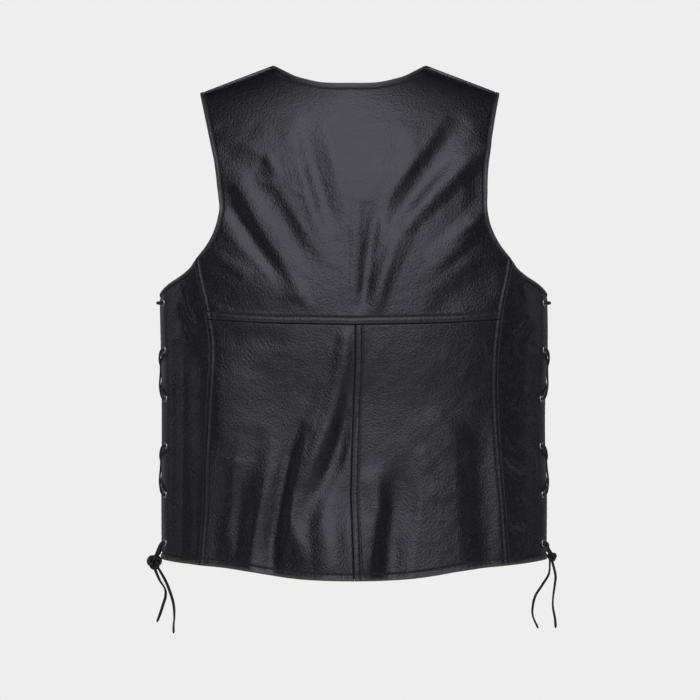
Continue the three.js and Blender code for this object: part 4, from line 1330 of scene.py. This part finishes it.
ROUND_A_HOLE = np.arange(-6, 6.5, 1.0)  # grid lines across an eyelet's hole
lower_across = line_shares(YOKE_HALF, PITCH)
lower_up = line_shares(LOWER_TALL, PITCH)
SIDE_WIDTH = 92.0
FRONT_WIDTH = 250.0
near_eyelets = SIDE_WIDTH - EYELET_INSET + ROUND_A_HOLE
near_front_eyelets = EYELET_INSET + ROUND_A_HOLE
front_up = np.unique(np.concatenate([
    line_shares(FRONT_TALL, 3.2), shoulder_shares(FRONT_TALL, 56, 2.6),
]).round(9))
for name, sign in SIDES.items():
    centre = (BAND_RISE, CENTRE_BAND, [(2.0, 0.35, TRIM), (8.0, 0.8, TRIM)])
    leather_panel(
        f"leather_back_{name}", f"back_{name}", lower_across, lower_up, lower_back_place(sign),
        {
            "end": (BAND_RISE, PRINCESS_BAND, [(5.7, 0.8, (1.5, 2))]), "low": HEM_EDGE,
            "start": centre if sign > 0 else PLAIN, "high": PLAIN,
        },
        LOWER_CREASES, sign, 21 + sign, raw=("low",),
    )
    leather_panel(
        f"leather_side_{name}", f"side_back_{name}",
        line_shares(SIDE_WIDTH, PITCH, near_eyelets), line_shares(SIDE_TALL, 1.9),
        side_back_place(sign),
        {"start": PLAIN, "low": HEM_EDGE, "end": LACED_EDGE, "high": UNDERARM_EDGE},
        SIDE_CREASES, sign, 31 + sign,
        eyelet_places(sign, "back"), raw=("low", "high", "end"),
    )
    leather_panel(
        f"leather_front_{name}", f"front_{name}",
        line_shares(FRONT_WIDTH, 3.3, near_front_eyelets), front_up, front_place(sign),
        {"start": LACED_EDGE, "low": HEM_EDGE, "end": FRONT_EDGE_SEWN, "high": PLAIN},
        FRONT_CREASES, sign, 41 + sign,
        eyelet_places(sign, "front"), raw=("low", "start", "end"),
    )


ALLOWANCE = {"width": 15.0, "thickness": 1.1, "gap": 0.45}


def seam_allowance(name, points, normals):
    """The leather's turned-in edges behind a seam, pressed open and glued: a flat strap along the
    seam just inside the panels' wall."""
    depth = WALL + ALLOWANCE["gap"] + ALLOWANCE["thickness"] / 2
    path = points - normals * depth
    section = strap_section(ALLOWANCE["width"], ALLOWANCE["thickness"])
    way = unit(np.gradient(path, axis=0))
    strap, faces, _, _ = sweep(path, np.cross(normals, way), section)
    make_piece(name, strap, faces, [SUEDE], "vest_leather")


def along_body(angle, z):
    """Points of the folded leather's face and its outward directions."""
    points, normals = body_point(angle, z), body_normal(angle, z)
    lift = fold_lift(points) + crease_lift(points, FULLNESS)
    return points + normals * lift[..., None], normals


across = np.linspace(-0.93, 0.93, 90)
cross_z = curve(CROSS_SEAM, np.abs(across))
cross_angle = across * seam_angle(PRINCESS_SEAM, cross_z)
seam_allowance("allowance_cross", *along_body(cross_angle, cross_z))
centre_z = np.linspace(-614, -317, 90)
seam_allowance("allowance_centre", *along_body(seam_angle(CENTRE_SEAM, centre_z), centre_z))
princess_z = np.linspace(-596, -232, 110)
princess_angle = seam_angle(PRINCESS_SEAM, princess_z)
shoulder_x = np.linspace(98, 184, 24)
for name, sign in SIDES.items():
    seam_allowance(f"allowance_side_{name}", *along_body(sign * princess_angle, princess_z))
    top = shoulder_height(shoulder_x)
    seam_allowance(
        f"allowance_shoulder_{name}",
        np.stack([sign * shoulder_x + curve(LEAN, top), 0 * top, top], -1),
        np.broadcast_to(unit(np.array([-sign * SHOULDER_SLOPE, 0, 1.0])), (len(top), 3)),
    )


def turned_metal(name, node, profile, centre, axis, sides=40):
    """A turned or pressed metal piece: its profile, a closed line of radii and heights, swept round
    its axis."""
    radius, height = np.array(profile, float).T
    axis = unit(axis)
    first = unit(np.cross(axis, [0, 0, 1.0]))
    second = np.cross(axis, first)
    turn = 2 * np.pi * np.arange(sides) / sides
    ring = first * np.cos(turn)[:, None] + second * np.sin(turn)[:, None]
    points = centre + ring * radius[:, None, None] + axis * height[:, None, None]
    faces = ring_faces(len(profile), sides, closed=True)
    piece = make_piece(name, points.reshape(-1, 3), faces, [NICKEL], "nickel")
    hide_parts(node)


def arc(middle_radius, middle_height, radius, start, stop, count=7):
    """Points of a profile on a circle's arc, its ends in degrees."""
    turn = np.radians(np.linspace(start, stop, count))
    return [(middle_radius + radius * np.cos(t), middle_height + radius * np.sin(t)) for t in turn]


# An eyelet: a rolled flange on the face, a barrel and a rolled end behind
ROLL = (EYELET["flange"] - EYELET["hole"]) / 2
BEHIND = -WALL - EYELET["back_gap"]
eyelet_profile = [
    *arc(EYELET["hole"] + ROLL, SEAT_GAP, ROLL, 180, 0, 11),
    (EYELET["flange"] - 0.1, SEAT_GAP - 0.12), (EYELET["barrel"], SEAT_GAP - 0.12),
    (EYELET["barrel"], BEHIND), (EYELET["barrel"] + 0.7, BEHIND),
    *arc(EYELET["barrel"] + 0.4, BEHIND - 0.4, 0.4, 60, -90, 5),
    (EYELET["hole"] + 0.2, BEHIND - EYELET["lip"]), (EYELET["hole"], BEHIND - 0.3),
]
for name, sign in SIDES.items():
    for part in ("back", "front"):
        for number, (centre, axis) in enumerate(eyelet_places(sign, part), 1):
            turned_metal(
                f"ring_{name}_{part}_{number}", f"eyelet_{name}_{part}_{number}", eyelet_profile,
                centre, axis,
            )

cap_profile = [
    (0.02, 0.05), (7.0, 0.05), *arc(6.75, 0.75, 0.75, -60, 120, 8), (6.1, 1.1), (5.7, 1.2),
    (4.6, 1.9), (3.2, 2.35), (1.6, 2.55), (0.02, 2.6),
]
back_profile = [
    (0.02, -1.8), (3.2, -1.8), (3.5, -1.2), (5.2, -1.2), *arc(5.4, -0.6, 0.6, -90, 90, 7),
    (0.02, 0),
]
STUD_PARTS = {"cap": (cap_profile, SEAT_GAP), "back": (back_profile, SNAP_BEHIND)}
for number, z in enumerate(SNAP_HEIGHTS, 1):
    for what, (profile, height) in STUD_PARTS.items():
        centre, axis = seat(180, z, height)
        turned_metal(f"press_stud_{what}_{number}", f"snap_{what}_{number}", profile, centre, axis)


bpy.context.scene.view_settings.view_transform = "Standard"

# The room: a pale floor well below, and a pale surround that lights the vest softly
FLOOR_HEIGHT = -1150.0
FLOOR_RADIUS = 2400.0
FLOOR_SIDES = 96
floor_turn = 2 * np.pi * np.arange(FLOOR_SIDES) / FLOOR_SIDES
floor_points = FLOOR_RADIUS * np.stack([np.cos(floor_turn), np.sin(floor_turn), 0 * floor_turn], -1)
floor_points[:, 2] = FLOOR_HEIGHT
floor_mesh = bpy.data.meshes.new("floor")
floor_mesh.from_pydata((floor_points * MM).tolist(), [], [list(range(FLOOR_SIDES))])
floor_mesh.materials.append(FLOOR)
floor = bpy.data.objects.new("floor", floor_mesh)
bpy.context.scene.collection.objects.link(floor)

world = bpy.data.worlds.new("studio")
bpy.context.scene.world = world
world.use_nodes = True
nodes, links = world.node_tree.nodes, world.node_tree.links
SEEN = srgb("#eeeeee")
SURROUND_LIGHT = 0.02
surround = nodes["Background"]
surround.inputs["Color"].default_value = srgb("#dedcf4")
surround.inputs["Strength"].default_value = SURROUND_LIGHT
backdrop = nodes.new("ShaderNodeBackground")
backdrop.inputs["Color"].default_value = SEEN
path_of_light = nodes.new("ShaderNodeLightPath")
choice = nodes.new("ShaderNodeMixShader")
links.new(path_of_light.outputs["Is Camera Ray"], choice.inputs[0])
links.new(surround.outputs[0], choice.inputs[1])
links.new(backdrop.outputs[0], choice.inputs[2])
links.new(choice.outputs[0], nodes["World Output"].inputs[0])


def softbox(name, place, aim, size, watts):
    """A soft rectangular lamp at a place, turned to face its aim, and not itself seen."""
    lamp = bpy.data.objects.new(name, bpy.data.lights.new(name, "AREA"))
    lamp.data.shape = "RECTANGLE"
    lamp.data.size, lamp.data.size_y = size
    lamp.data.energy = watts
    lamp.location = place
    way = unit(np.array(aim, float) - np.array(place, float))
    side = unit(np.cross([0, 0, 1.0], -way))
    up = np.cross(-way, side)
    matrix = np.eye(4)
    matrix[:3, :3] = np.stack([side, up, -way], 1)
    matrix[:3, 3] = place
    lamp.matrix_world = matrix.T.tolist()
    lamp.visible_camera = False
    bpy.context.scene.collection.objects.link(lamp)


softbox("key", (0, -2.6, 1.15), (0, 0, -0.3), (3.2, 3.4), 60)
softbox("key_spread", (0, -2.75, 0.9), (0, 0, -0.3), (4.6, 4.4), 46)
softbox("top", (0, -1.3, 2.4), (0, 0, -0.2), (2.8, 1.6), 16)
softbox("front_key", (0, 2.75, 0.6), (0, 0, -0.3), (1.8, 2.0), 20)
softbox("front_left", (-1.93, 2.3, 0.2), (0, 0, -0.3), (1.9, 2.6), 7)
softbox("front_right", (1.93, 2.3, 0.2), (0, 0, -0.3), (1.9, 2.6), 5)
softbox("left_side", (-3.0, 0.2, 0.0), (0, 0, -0.35), (1.0, 1.2), 5)
softbox("right_side", (3.0, 0.2, 0.0), (0, 0, -0.35), (1.0, 1.2), 4)
